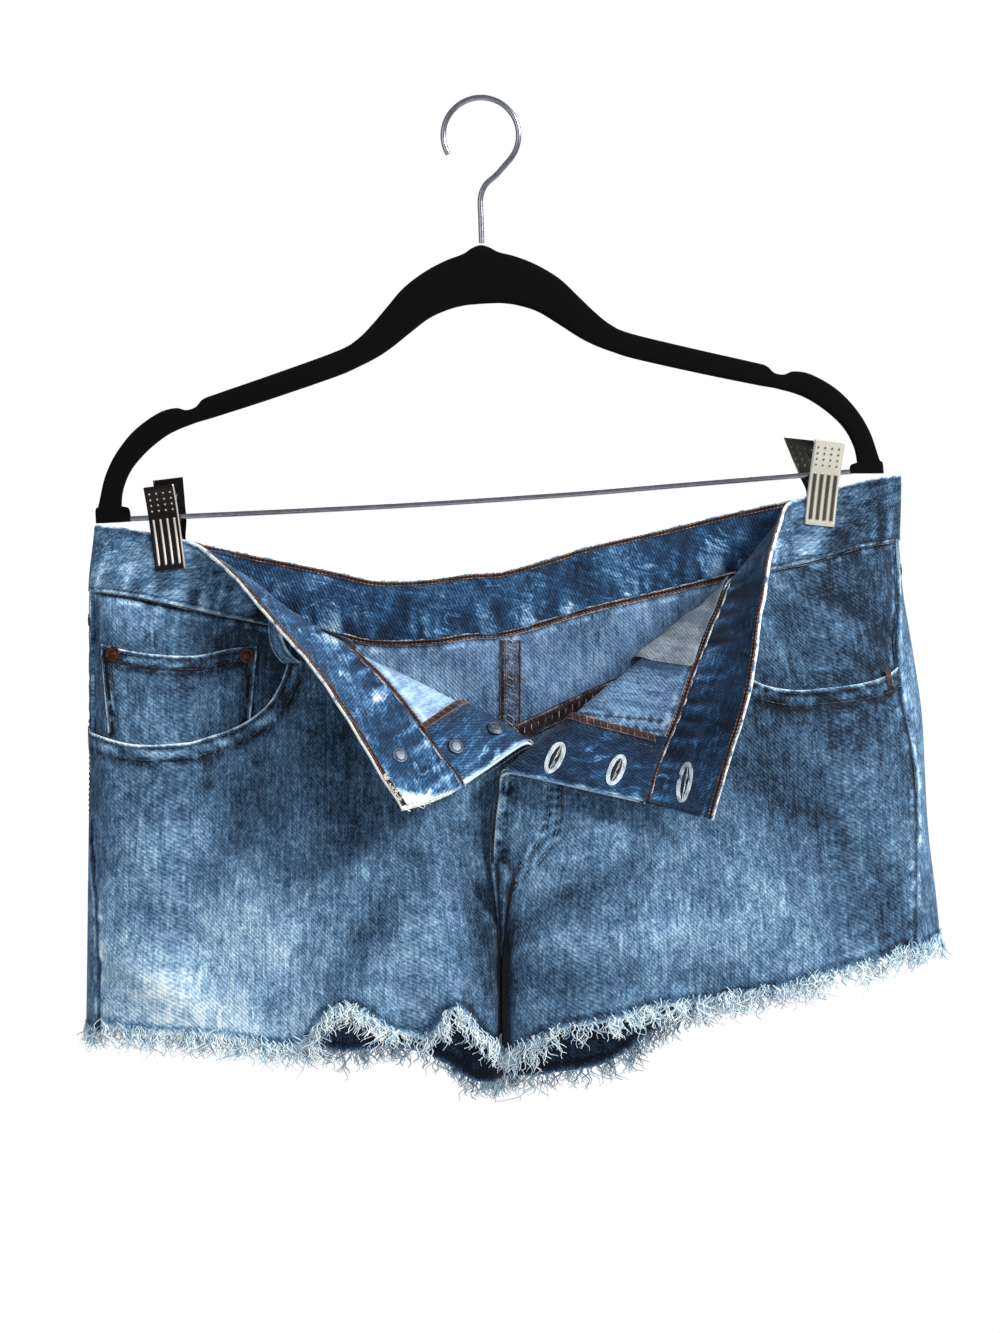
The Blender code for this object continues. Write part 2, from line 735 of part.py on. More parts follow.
def band_stations(layer, half):
    """Pattern columns of the waistband, from the centre to the side edge."""
    edge = EDGE_P[half]
    start = end_p(layer, half)
    out = [edge - half * step for step in reversed(bend_steps(half))]
    stop = out[0]
    if layer == BACK:
        return span(start, stop, GRID)[:-1] + out
    fine_from, fine_to = BAND_FINE[half]
    out = [p for p in out if (p - fine_to) * half > 2.0]
    return span(start, fine_from, BAND_STEP)[:-1] + span(fine_from, fine_to, BAND_FINE_STEP) + out


def wrapped_stations(half):
    """The rest of the back's columns, from the side edge round to its side seam."""
    return [EDGE_P[half] + half * step for step in bend_steps(half)[1:]]


def on_band(p, layer, half):
    """The waistband column nearest to p."""
    return min(band_stations(layer, half), key=lambda column: abs(column - p))


def band_run(layer, half, start, stop, gap):
    """Points below the waistband from pattern column start to stop, at its stations."""
    near, far = sorted((start, stop))
    inner = [p for p in band_stations(layer, half) if near + 1.5 < p < far - 1.5]
    inner.sort(reverse=start > stop)
    return [(q, z - gap) for q, z in (band_line(p, layer, half, 1.0) for p in [start] + inner + [stop])]


def seam_p(z, half):
    """Pattern column of the side seam, on the front's pattern."""
    return unroll(seam_x(z, half), z, half)


def seam_p_wrapped(z, half):
    """The same column on the back's pattern, past the side edge."""
    return 2 * EDGE_P[half] - seam_p(z, half)


def seam_levels(start, stop):
    """Heights along a side seam, the same for all the pieces that meet at it."""
    low, high = sorted((start, stop))
    rows = range(int(low / SEAM_STEP) - 1, int(high / SEAM_STEP) + 1)
    out = [row * SEAM_STEP for row in rows if low + 2 < row * SEAM_STEP < high - 2]
    return [low] + out + [high]


def crease_p(half):
    return CREASE_X + half * (LEG_APART + EDGE_LIP)


def hem_side(layer, half):
    """Pattern point of a hem's end at the side seam."""
    z = hem_z(seam_x(HEM_LEVEL, half), layer, half)
    p = seam_p(z, half) - half * SEAM_GAP if layer == FRONT else seam_p_wrapped(z, half)
    return p, z


def hem_line(layer, half):
    """Pattern points of a hem, one for each long strand of its fringe."""
    far, _ = hem_side(layer, half)
    count = STRANDS[(layer, half)]
    line = []
    for p in (crease_p(half) + (far - crease_p(half)) * i / count for i in range(count + 1)):
        line.append((p, hem_z(roll_x(p, HEM_LEVEL, half), layer, half)))
    return line


def back_centre(z, half):
    """Centre back seam, which runs from the yoke to the crease."""
    seam = BACK_SEAM_X + (CREASE_X - BACK_SEAM_X) * smoothstep((-330 - z) / 170)
    apart = SEAM_GAP + (LEG_APART + EDGE_LIP - SEAM_GAP) * smoothstep((RISE_TOP - z) / 90)
    return seam + half * apart


def yoke_low(p, half):
    """Height of the yoke's lower seam."""
    from_centre = min(abs(p - BACK_SEAM_X) / abs(EDGE_P[half] - BACK_SEAM_X), 1.0)
    return band_line(p, BACK, half, 1.0)[1] - YOKE_CENTRE - (YOKE_SIDE - YOKE_CENTRE) * from_centre


# ---- the garment's pieces ------------------------------------------------
def to_pattern(points, half):
    return [(unroll(x, z, half), z) for x, z in points]


def make_front(half, look):
    """A front from the waistband to the hem, cut out at its pocket's opening."""
    edge = FRONT_EDGE[half]
    pocket = to_pattern(POCKET_EDGE[half], half)
    top = band_run(FRONT, half, on_band(pocket[0][0], FRONT, half), end_p(FRONT, half), BAND_GAP)
    centre = [q for q in edge if q[1] < top[-1][1] - 6]
    hem = hem_line(FRONT, half)
    crease = [(crease_p(half), z) for z in span(centre[-1][1], hem[0][1], GRID)][1:-1]
    side = [(seam_p(z, half) - half * SEAM_GAP, z) for z in seam_levels(hem[-1][1], pocket[-1][1])]
    outline = outline_of(FRONT, half, top, centre + crease, hem + side[1:], pocket[-2:0:-1])
    cloth_piece(side_name("front", half), look, FRONT, half, outline, -DENIM / 2, DENIM / 2)


def make_pocket_facing(half, look):
    """The denim behind a front pocket's opening, out to the side seam."""
    pocket = to_pattern(POCKET_EDGE[half], half)
    behind = FACING_BELOW * 0.7
    low = [(p - half * behind, z - behind) for p, z in pocket[1:-1]]
    side_top = band_line(EDGE_P[half], FRONT, half, 1.0)[1] - BAND_GAP
    levels = seam_levels(pocket[-1][1] - FACING_BELOW, side_top)
    side = [(seam_p(z, half) - half * SEAM_GAP, z) for z in levels]
    top = band_run(FRONT, half, side[-1][0], on_band(low[0][0], FRONT, half), BAND_GAP)
    outer = -DENIM / 2 - LAYER_GAP - (FACING + LAYER_GAP if half == LEFT else 0)
    outline = outline_of(FRONT, half, top, low, side[:-1])
    cloth_piece(side_name("pocket_facing", half), look, FRONT, half, outline, outer - DENIM, outer)


def make_coin_pocket(look):
    outer = -DENIM / 2 - LAYER_GAP
    line = to_pattern(COIN_POCKET, LEFT)
    outline = outline_of(FRONT, LEFT, line[:1], line[1:])
    cloth_piece("coin_pocket", look, FRONT, LEFT, outline, outer - FACING, outer)


def make_fly_facing(half, look):
    """The strip on a front's inside: button stand (left), buttonhole fly (right)."""
    edge = FRONT_EDGE[half]
    start = on_band(edge[0][0] + half * FLY_WIDE[half], FRONT, half)
    top = band_run(FRONT, half, start, edge[0][0] + half * FLY_RIM, BAND_GAP)
    levels = span(top[-1][1], FLY_LOW[half], GRID)[1:]
    rim = [(edge_at(edge, z) + half * FLY_RIM, z) for z in levels]
    low = [(p + half * (FLY_WIDE[half] - FLY_RIM), z) for p, z in reversed(rim)]
    outer = -DENIM / 2 - LAYER_GAP
    name = "button_stand" if half == LEFT else "buttonhole_fly"
    outline = outline_of(FRONT, half, top, rim + low)
    cloth_piece(name, look, FRONT, half, outline, outer - FACING, outer)


def make_pocket_bag(half, look):
    """The visible part of a pocket bag, on the inside of a front."""
    inner_p, outer_p = (on_band(p, FRONT, half) for p in (BAG_EDGE[half], BAG_OUT[half]))
    low_z = BAG_LOW[half]
    top = band_run(FRONT, half, outer_p, inner_p, BAND_GAP)
    foot = [(inner_p, low_z), ((inner_p + outer_p) / 2, low_z - 4), (outer_p, low_z - 6)]
    outer = -DENIM / 2 - 3 * LAYER_GAP - DENIM
    outline = outline_of(FRONT, half, top, foot)
    cloth_piece(side_name("pocket_bag", half), look, FRONT, half, outline, outer - FACING, outer)


def make_yoke(half, look):
    centre = BACK_SEAM_X + half * SEAM_GAP
    side_top = band_line(EDGE_P[half], BACK, half, 1.0)[1] - BAND_GAP
    side_low = yoke_low(EDGE_P[half], half) + SEAM_GAP
    seam = [(seam_p_wrapped(z, half), z) for z in reversed(seam_levels(side_low, side_top))]
    top = band_run(BACK, half, centre, EDGE_P[half], BAND_GAP)
    top += [(p, side_top) for p in wrapped_stations(half) if (seam[0][0] - p) * half > 1.5]
    low = [(p, yoke_low(p, half) + SEAM_GAP) for p in span(EDGE_P[half], centre, GRID)]
    outline = outline_of(BACK, half, top + seam, low)
    cloth_piece(side_name("yoke", half), look, BACK, half, outline, -DENIM / 2, DENIM / 2)


def make_back(half, look):
    centre_top = yoke_low(BACK_SEAM_X, half) - SEAM_GAP
    side_top = yoke_low(EDGE_P[half], half) - SEAM_GAP
    low = [(p, yoke_low(p, half) - SEAM_GAP) for p in span(EDGE_P[half], BACK_SEAM_X, GRID)][:-1]
    hem = hem_line(BACK, half)[::-1]
    side = [(seam_p_wrapped(z, half), z) for z in seam_levels(hem[0][1], side_top)][::-1]
    rise = [(back_centre(z, half), z) for z in span(hem[-1][1], centre_top, GRID)][1:]
    outline = outline_of(BACK, half, side[:-1] + hem, rise + low[::-1])
    cloth_piece(side_name("back", half), look, BACK, half, outline, -DENIM / 2, DENIM / 2)


def make_patch_pocket(half, look):
    """A plain five-sided pocket on the outside of the back."""
    x, top = PATCH_X[half], PATCH_TOP[half]
    wide, shoulder = PATCH_WIDE / 2, top - PATCH_HIGH + PATCH_POINT
    outline = [(x - wide, top), (x + wide, top), (x + wide - PATCH_TAPER, shoulder),
               (x, top - PATCH_HIGH), (x - wide + PATCH_TAPER, shoulder)]
    inner = DENIM / 2 + LAYER_GAP
    outline = outline_of(BACK, half, outline[:1], outline[1:])
    cloth_piece(side_name("back_pocket", half), look, BACK, half, outline, inner, inner + DENIM)


def band_ring(layer, half, p):
    """Outer points down the waistband at column p, then inner points back up."""
    outer, inner = [], []
    for row in range(BAND_ROWS + 1):
        place, normal = cloth_frame(*band_line(p, layer, half, row / BAND_ROWS), layer, half)
        outer.append(place + normal * BAND_THICK / 2)
        inner.append(place - normal * BAND_THICK / 2)
    return outer + inner[::-1]


def make_waistband(look):
    """One long strip, from one flap's end round the body to the other's."""
    rings = []
    for half in (LEFT, RIGHT):
        front = [(FRONT, p) for p in band_stations(FRONT, half)]
        back = [(BACK, p) for p in band_stations(BACK, half)]
        run = front[:-1] + back[::-1]
        if half == RIGHT:
            run = run[-2::-1]
        rings += [band_ring(layer, half, p) for layer, p in run]
    finish("waistband", swept(rings), look)


def make_belt_loop(name, layer, x, stand, down, look):
    """A strip from near the top of the waistband to just below it, standing off."""
    half = LEFT if x < CREASE_X else RIGHT
    p = unroll(x, WAIST_LEVEL, half)
    top = waist_z(x, layer, half) - down
    ends = []
    for z in (top, top - LOOP_LONG):
        place, out = cloth_frame(p, z, layer, half)
        across = cloth_point(p + 1, z, layer, half) - cloth_point(p - 1, z, layer, half)
        ends.append((place + out * (BAND_THICK / 2 + LAYER_GAP), out, across.normalized()))
    (head, head_out, head_across), (foot, foot_out, foot_across) = ends
    out = (head_out + foot_out).normalized()
    knee = (head + foot) / 2 + out * stand * 2
    stations = []
    for t in span(0.0, 1.0, 1 / LOOP_ROWS):
        place = head * (1 - t) ** 2 + knee * 2 * t * (1 - t) + foot * t * t
        across = head_across.lerp(foot_across, t).normalized()
        ahead = ((knee - head) * (1 - t) + (foot - knee) * t).normalized()
        stations.append((place, across * LOOP_WIDE / 2, across.cross(ahead).normalized() * LOOP_THICK))
    turned = 1 if stations[LOOP_ROWS // 2][2].dot(out) > 0 else -1
    rings = []
    for place, across, thick in stations:
        thick = thick * turned
        rings.append([place - across, place + across, place + across + thick, place - across + thick])
    finish(name, swept(rings), look)


def make_button(name, x, z, across, layers, look, tack_look):
    """A shank button outside the cloth and the tack that holds it inside."""
    place, normal = cloth_frame(unroll(x, z, LEFT), z, FRONT, LEFT)
    foot = layers / 2 + SHANK_GAP
    radius = across / 2
    head = [(foot, 2.4), (foot + 2.2, 2.4), (foot + 2.4, radius - 0.6), (foot + 3.0, radius),
            (foot + 4.0, radius - 0.3), (foot + 4.8, radius * 0.72), (foot + 5.2, radius * 0.3)]
    lathe(name, look, place, normal, head, 16)
    facing = 0 if layers > DENIM else FACING + LAYER_GAP
    back = layers / 2 + facing + SEAM_GAP
    tack = [(back, TACK_ACROSS / 2 - 0.4), (back + 0.5, TACK_ACROSS / 2),
            (back + 1.1, TACK_ACROSS / 2 - 0.6), (back + 1.5, TACK_ACROSS / 4)]
    lathe(name + "_tack", tack_look, place, -normal, tack, 12)


def make_rivet(index, x, z, look):
    place, normal = cloth_frame(unroll(x, z, LEFT), z, FRONT, LEFT)
    foot = -DENIM / 2 - LAYER_GAP + RIVET_GAP
    radius = RIVET_ACROSS / 2
    profile = [(foot, radius), (foot + 0.9, radius - 0.2), (foot + 1.2, radius * 0.62),
               (foot + 1.0, radius * 0.5), (foot + 1.5, radius * 0.3)]
    lathe("rivet_%d" % index, look, place, normal, profile, 12)


def make_fringe(layer, half, look):
    """A narrow frayed strip below a hem, with its longest strands."""
    line = hem_line(layer, half)[:-1]
    drop = SEAM_GAP + FRINGE_STRIP
    points, faces = [], []

    def pair(p, z):
        """Outer and inner points of the strip over a pattern point."""
        place, normal = cloth_frame(p, z, layer, half)
        points.extend((place + normal * DENIM / 2, place - normal * DENIM / 2))
        return len(points) - 2, len(points) - 1

    tops = [pair(p, z - SEAM_GAP) for p, z in line]
    lows = [pair(p, z - drop) for p, z in line]
    for i in range(len(line) - 1):
        (p, z), (next_p, next_z) = line[i], line[i + 1]
        length = STRAND_LENGTHS[(i * 3 + layer) % len(STRAND_LENGTHS)]
        sway = STRAND_SWAY[(i * 2 + half) % len(STRAND_SWAY)]
        (ao, ai), (bo, bi), (co, ci), (do, di) = tops[i], tops[i + 1], lows[i], lows[i + 1]
        mo, mi = pair((p + next_p) / 2, (z + next_z) / 2 - drop)
        tip, tip_out = cloth_frame(p + (next_p - p) * 0.25 + sway, z - drop - length, layer, half)
        points.append(tip + tip_out * sway * 0.4)
        end = len(points) - 1
        faces += [(ao, mo, co), (ao, bo, mo), (bo, do, mo), (ci, mi, ai), (mi, bi, ai), (mi, di, bi),
                  (ao, ai, bi, bo), (mo, do, di, mi),
                  (co, mo, end), (mo, mi, end), (mi, ci, end), (ci, co, end)]
    faces.append((*tops[0], *reversed(lows[0])))
    faces.append((*reversed(tops[-1]), *lows[-1]))
    finish(side_name("fringe_front" if layer == FRONT else "fringe_back", half), (points, faces), look)


# ---- the hanger ----------------------------------------------------------
def hanger_point(x, z):
    """From the untilted hanger, about its neck, to the world."""
    wide = x * ARM_SPAN[LEFT if x < 0 else RIGHT]
    return (NECK[0] + wide * cos(HANGER_TILT) - z * sin(HANGER_TILT),
            NECK[1] + wide * sin(HANGER_TILT) + z * cos(HANGER_TILT))


def make_hanger_body(look):
    rows = [(-a, b, -c, d) for a, b, c, d in reversed(ARM[1:])] + list(ARM)
    corner, half_thick = BODY_THICK * 0.3, BODY_THICK / 2
    out = Vector((0, 1, 0))
    rings = []
    for outer_x, outer_z, inner_x, inner_z in rows:
        cut = TIP_CUT[LEFT if outer_x < 0 else RIGHT]
        top, low = (Vector((x, 0, max(z, cut)))
                    for x, z in (hanger_point(outer_x, outer_z), hanger_point(inner_x, inner_z)))
        across = (low - top).normalized() * corner
        rings.append([top - out * (half_thick - corner), top + across - out * half_thick,
                      low - across - out * half_thick, low - out * (half_thick - corner),
                      low + out * (half_thick - corner), low - across + out * half_thick,
                      top + across + out * half_thick, top + out * (half_thick - corner)])
    shade_round(finish("hanger_body", swept(rings), look))


def bar(name, route, width, sides, look):
    """A round bar along a route in the hanger's plane."""
    rings = []
    for i, place in enumerate(route):
        ahead = (route[min(i + 1, len(route) - 1)] - route[max(i - 1, 0)]).normalized()
        side = ahead.cross(Vector((0, 1, 0)))
        turns = [2 * pi * k / sides for k in range(sides)]
        rings.append([place + (side * cos(t) + ahead.cross(side) * sin(t)) * width / 2 for t in turns])
    shade_round(finish(name, swept(rings), look))


def make_hook(look):
    """A shank that swings out and then over the rail."""
    radius = HOOK_INSIDE + WIRE / 2
    route = [Vector((x, 0, z)) for x, z in SHANK]
    for turn in span(HOOK_FROM, HOOK_TO, 18):
        turn = radians(turn)
        route.append(Vector((radius * cos(turn), 0, HOOK_CENTRE_Z + radius * sin(turn))))
    bar("hook", route, WIRE, 8, look)


def make_rod(look):
    bar("hanger_rod", [Vector((x, 0, z)) for x, z in ROD_LINE], ROD, 10, look)


def clip_place(half, across, height, out):
    """World place from across and up a clip's plate, which leans about the rod."""
    lean = CLIP_LEAN[half]
    return Vector((CLIP_ROD_X[half] + across * cos(lean) + height * sin(lean), out,
                   CLIP_ROD_Z[half] - across * sin(lean) + height * cos(lean)))


def make_clip_plate(half, side, look):
    """One sprung plate of a clip: flat jaw below the rod, handle above it."""
    rings = []
    for height, out, shift in FRONT_PLATE if side == FRONT else BACK_PLATE[half]:
        corners = ((-1, 0.0), (1, 0.0), (1, CLIP_THICK), (-1, CLIP_THICK))
        rings.append([clip_place(half, shift + across * CLIP_WIDE / 2, height, side * (out + thick))
                      for across, thick in corners])
    name = side_name("clip_front" if side == FRONT else "clip_back", half)
    finish(name, swept(rings), look)


def build():
    for obj in list(bpy.data.objects):
        bpy.data.objects.remove(obj, do_unlink=True)
    denim = material("denim_outside", (0.16, 0.27, 0.42), 0.9)
    inside_denim = material("denim_inside", (0.05, 0.11, 0.24), 0.9)
    cotton = material("pocket_cotton", (0.62, 0.64, 0.66), 0.9)
    copper = material("copper", (0.42, 0.2, 0.1), 0.45, 1.0)
    fray = material("frayed_yarn", (0.55, 0.68, 0.76), 0.95)
    steel = material("nickel", (0.6, 0.57, 0.52), 0.25, 1.0)
    chrome = material("wire", (0.55, 0.55, 0.56), 0.25, 1.0)
    flock = material("black_flock", (0.006, 0.006, 0.007), 1.0)

    for half in (LEFT, RIGHT):
        make_front(half, denim)
        make_back(half, denim)
        make_yoke(half, denim)
        make_patch_pocket(half, denim)
        make_pocket_facing(half, denim)
        make_pocket_bag(half, cotton)
        make_fly_facing(half, inside_denim)
        for side in (FRONT, BACK):
            make_fringe(side, half, fray)
            make_clip_plate(half, side, steel)
    make_waistband(denim)
    make_coin_pocket(denim)
    for name, layer, x, stand, down in BELT_LOOPS:
        make_belt_loop(name, layer, x, stand, down, denim)
    for name, x, z, across, layers in BUTTONS:
        make_button(name, x, z, across, layers, copper, steel)
    for index, (x, z) in enumerate(RIVETS, 1):
        make_rivet(index, x, z, copper)
    make_hanger_body(flock)
    make_hook(chrome)
    make_rod(chrome)


build()
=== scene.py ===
"""Looks of the frayed denim shorts that hang by two clips from a flocked hanger.

The frame gives the sizes. Every cloth piece here is a finer sheet over the same
flat pattern (p, z) as its solid, with the creases and puckers placed one by one,
and then come the seams, the stitches, the fringe and the metal parts.
Sizes are in millimetres until MM turns them into metres. "left" and "right"
are as the viewer sees them from the front, which faces -Y.
"""

from math import cos, hypot, pi, radians, sin

import bpy
import numpy as np
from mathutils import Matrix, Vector
from mathutils.geometry import delaunay_2d_cdt


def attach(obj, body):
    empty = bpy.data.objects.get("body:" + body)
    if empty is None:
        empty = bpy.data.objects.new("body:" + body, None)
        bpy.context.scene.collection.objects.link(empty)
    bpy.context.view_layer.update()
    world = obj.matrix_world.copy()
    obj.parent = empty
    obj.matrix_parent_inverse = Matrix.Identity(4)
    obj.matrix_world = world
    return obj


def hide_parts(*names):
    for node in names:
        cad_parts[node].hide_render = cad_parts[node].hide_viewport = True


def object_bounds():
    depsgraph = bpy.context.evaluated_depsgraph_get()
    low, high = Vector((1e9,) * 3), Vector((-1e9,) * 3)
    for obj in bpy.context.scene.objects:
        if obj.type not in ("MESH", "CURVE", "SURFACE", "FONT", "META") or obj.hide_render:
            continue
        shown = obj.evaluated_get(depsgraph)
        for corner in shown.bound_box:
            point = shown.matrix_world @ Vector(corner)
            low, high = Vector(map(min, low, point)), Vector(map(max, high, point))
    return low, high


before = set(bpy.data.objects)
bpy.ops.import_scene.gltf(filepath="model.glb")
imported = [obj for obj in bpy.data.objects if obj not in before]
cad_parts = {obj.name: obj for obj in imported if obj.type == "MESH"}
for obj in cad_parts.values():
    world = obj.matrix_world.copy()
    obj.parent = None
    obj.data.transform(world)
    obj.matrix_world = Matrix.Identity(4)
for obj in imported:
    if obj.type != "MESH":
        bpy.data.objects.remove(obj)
CAD_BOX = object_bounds()

MM = 0.001
LEFT, RIGHT = -1, 1
FRONT, BACK = -1, 1

# ---- driving sizes -------------------------------------------------------
DENIM = 1.2                 # one layer of denim
BAND_THICK = 2.4            # waistband, two layers and its seam
BAND_HIGH = 38.0            # waistband height
SEAM_GAP = 0.3              # clearance between pieces at a seam
LAYER_GAP = 0.6             # clearance between layers that lie on each other
FACING = 1.0                # fly facings and pocket bags
CREASE_X = 11.5             # crease between the legs
LEG_APART = 0.75            # half the distance between the legs' inner faces
END_REACH = 60.0            # how far in from the side the cloth rounds
LEG_REACH = 55.0            # the same at the crease between the legs
ROUNDING = 2.5              # superellipse power of both roundings
RISE_TOP, CROTCH = -395.0, -508.0
PINCH_WIDE, PINCH_DEEP, PINCH_FLAT = 46.0, 58.0, 0.4
CLIP_X = {LEFT: -179.7, RIGHT: 195.3}
EDGE_P = {LEFT: -224.0, RIGHT: 252.0}    # pattern coordinate of each side edge
EDGE_LIP = 0.12             # how far a panel's edge stays off the crease's own line
WAIST_LEVEL, HEM_LEVEL = -250.0, -520.0  # heights at which x is read for a waist or hem

# Silhouette of the body: height, then x of the sides and of the side seams.
OUTLINE = (
    # z,     left,   right,  seam_left, seam_right
    (-210, -220.0, 240.0, -219.6, 238.0),
    (-245, -220.5, 239.0, -220.1, 237.0),
    (-280, -223.9, 241.0, -223.4, 237.5),
    (-315, -224.0, 246.5, -223.5, 236.0),
    (-350, -223.8, 251.5, -223.2, 238.5),
    (-385, -223.4, 253.5, -222.6, 245.0),
    (-420, -223.8, 255.5, -221.0, 245.5),
    (-455, -224.4, 260.0, -218.0, 245.5),
    (-490, -224.9, 263.0, -216.4, 246.0),
    (-535, -225.6, 263.5, -216.4, 246.0),
)

# Top edge of the waistband laid flat: back, the front with the buttons (left)
# and the front with the buttonholes (right).
WAIST = (
    # x,    back,   buttons, holes
    (-226, -243.3, -243.3, -243.3),
    (-201, -246.0, -246.0, -246.0),
    (-169, -252.3, -252.3, -252.3),
    (-136, -259.2, -259.2, -259.2),
    (-110, -264.4, -264.4, -264.4),
    (-84, -269.6, -269.6, -269.6),
    (-59, -275.0, -274.0, -273.0),
    (-32, -274.5, -275.5, -271.0),
    (-6, -271.0, -275.5, -268.0),
    (11, -270.0, -275.3, -266.5),
    (34, -264.0, -275.3, -263.0),
    (63, -255.2, -262.0, -255.2),
    (106, -245.4, -245.4, -245.4),
    (146, -235.7, -235.7, -235.7),
    (185, -227.6, -227.6, -227.6),
    (219, -218.2, -218.2, -218.2),
    (262, -212.0, -212.0, -212.0),
)

# How far each layer stands from the hanger's plane, by distance below the
# top edge of the waistband.
BELLY = (
    # drop, front, back
    (-40, 6, 5),
    (0, 8, 6),
    (30, 12, 9),
    (60, 18, 13),
    (120, 27, 18),
    (180, 30, 20),
    (240, 26, 18),
    (340, 21, 14),
)

# Cloth edge of the hems, without the fringe.
HEM_LEFT = (
    # x,     front,  back
    (-226, -528.0, -531.0),
    (-190, -533.0, -538.0),
    (-160, -533.6, -540.0),
    (-133, -537.0, -541.5),
    (-110, -540.5, -544.0),
    (-96, -537.0, -546.0),
    (-87, -523.5, -548.0),
    (-77, -517.5, -549.0),
    (-66, -521.0, -547.5),
    (-56, -529.0, -545.5),
    (-41, -534.2, -547.0),
    (-27, -535.0, -552.0),
    (-18, -521.5, -557.0),
    (-12, -518.5, -561.0),
    (-3, -531.0, -565.0),
    (6, -539.5, -565.0),
    (12, -540.5, -562.0),
)
HEM_RIGHT = (
    # x,     front,  back
    (11, -546.5, -561.0),
    (20, -543.5, -561.5),
    (33, -537.0, -561.5),
    (46, -529.5, -560.0),
    (68, -526.0, -556.5),
    (85, -522.0, -548.0),
    (99, -518.3, -537.5),
    (126, -515.6, -524.5),
    (146, -511.8, -518.0),
    (172, -506.6, -511.5),
    (195, -499.7, -504.0),
    (230, -490.5, -493.0),
    (245, -484.0, -487.0),
    (263, -476.0, -480.0),
)

# Places where the hem curls towards the viewer (front) or away (back).
HEM_CURLS = (
    # x, half_width, outward
    (-160, 34, 4.0),
    (-77, 17, 8.0),
    (-40, 14, -3.0),
    (-14, 12, 6.0),
    (60, 30, 5.0),
    (120, 24, -3.0),
    (190, 34, 5.0),
)

# The fold of each front. `start` and `end` are the ends of its visible edge;
# the rows run along it from the start: bow below the straight line, radius of
# the roll and how far the cloth has turned.
FOLDS = {
    LEFT: {
        "start": (-167.0, -252.7), "end": (31.6, -370.0),
        "rows": (
            # along, bow, radius, turn
            (-8, 0.0, 2.5, 0),
            (0, 0.0, 2.5, 35),
            (16, -1.5, 4.0, 88),
            (52, -4.0, 8.0, 112),
            (105, -7.0, 9.0, 124),
            (157, -4.0, 10.0, 144),
            (190, -1.5, 11.0, 154),
            (240, 0.0, 13.0, 158),
        ),
    },
    RIGHT: {
        "start": (182.5, -228.2), "end": (10.9, -387.2),
        "rows": (
            # along, bow, radius, turn
            (-2, 0.0, 2.5, 0),
            (5, -0.5, 2.5, 35),
            (18, -2.5, 4.0, 88),
            (42, -6.0, 6.5, 108),
            (80, -9.0, 7.0, 134),
            (121, -7.0, 6.5, 158),
            (165, -4.0, 6.0, 178),
            (245, 0.0, 5.5, 180),
        ),
    },
}

# Centre front edge of each front laid flat, from the waist down to the crease.
FRONT_EDGE = {
    LEFT: ((33.3, -275.3), (36.6, -290.0), (38.0, -304.0), (36.6, -320.0), (31.6, -370.0),
           (32.0, -402.0), (31.0, -428.0), (26.0, -442.0), (17.0, -454.0), (10.7, -466.0)),
    RIGHT: ((-2.3, -266.8), (4.5, -325.0), (10.9, -387.2), (8.6, -412.0),
            (7.4, -432.0), (8.6, -448.0), (12.3, -466.0)),
}
RECESS = 9.0                # how far the button side lies behind the other
RECESS_FROM, RECESS_TO = -20.0, 8.0
RECESS_TOP, RECESS_END = -448.0, -476.0

# Edge of each front pocket's opening, from the waistband to the side seam.
POCKET_EDGE = {
    LEFT: ((-107.5, -296.0), (-109.6, -322.4), (-115.4, -338.4), (-122.8, -348.8),
           (-136.0, -358.0), (-156.1, -365.4), (-175.6, -368.8), (-195.7, -368.8),
           (-215.2, -364.3), (-223.6, -360.8)),
    RIGHT: ((138.0, -268.0), (140.6, -304.0), (145.8, -324.0), (157.3, -334.4),
            (179.7, -338.4), (211.8, -335.0), (228.4, -330.4), (238.0, -324.0)),
}
FACING_BELOW = 12.0         # how far a pocket facing goes behind the front

COIN_POCKET = ((-216.4, -312.0), (-188.8, -317.3), (-162.4, -318.5), (-141.6, -314.4),
               (-126.9, -313.2), (-130.0, -352.0), (-133.0, -376.0), (-170.0, -381.0),
               (-208.0, -378.0), (-211.2, -362.0))
RIVETS = ((-209.0, -318.0), (-132.4, -318.5))
RIVET_ACROSS = 9.0

BAG_EDGE = {LEFT: -72.0, RIGHT: 88.0}    # inner edge of each pocket bag
BAG_OUT = {LEFT: -96.5, RIGHT: 150.0}   # where it is out of sight
BAG_LOW = {LEFT: -336.0, RIGHT: -338.0}
FLY_WIDE = {LEFT: 43.0, RIGHT: 42.0}     # width of each fly facing
FLY_LOW = {LEFT: -425.0, RIGHT: -436.0}
FLY_RIM = 1.5               # how far a facing's edge stays inside the front's edge

YOKE_CENTRE, YOKE_SIDE = 58.0, 16.0      # yoke height at the centre and the side
BACK_SEAM_X = 17.0                       # centre back seam at the yoke
BACK_SEAM_BEND = (-330, 170)             # where it turns to the crease, and over what height

PATCH_WIDE, PATCH_HIGH, PATCH_POINT, PATCH_TAPER = 136.0, 132.0, 16.0, 7.0
PATCH_THICK = DENIM * 0.75
PATCH_X = {LEFT: -92.0, RIGHT: 122.0}
PATCH_TOP = {LEFT: -352.0, RIGHT: -338.0}

LOOP_WIDE, LOOP_THICK, LOOP_LONG = 11.0, 2.0, 43.0
BELT_LOOPS = (
    # name, layer, x, how far it stands off, how far below the waist's edge it starts
    ("belt_loop_front_left", FRONT, -105.0, 6.0, 14.0),
    ("belt_loop_front_right", FRONT, 100.0, 4.5, 3.0),
    ("belt_loop_back_left", BACK, -125.0, 3.5, 3.0),
    ("belt_loop_back_centre", BACK, 17.0, 3.5, 3.0),
    ("belt_loop_back_right", BACK, 150.0, 3.5, 3.0),
)

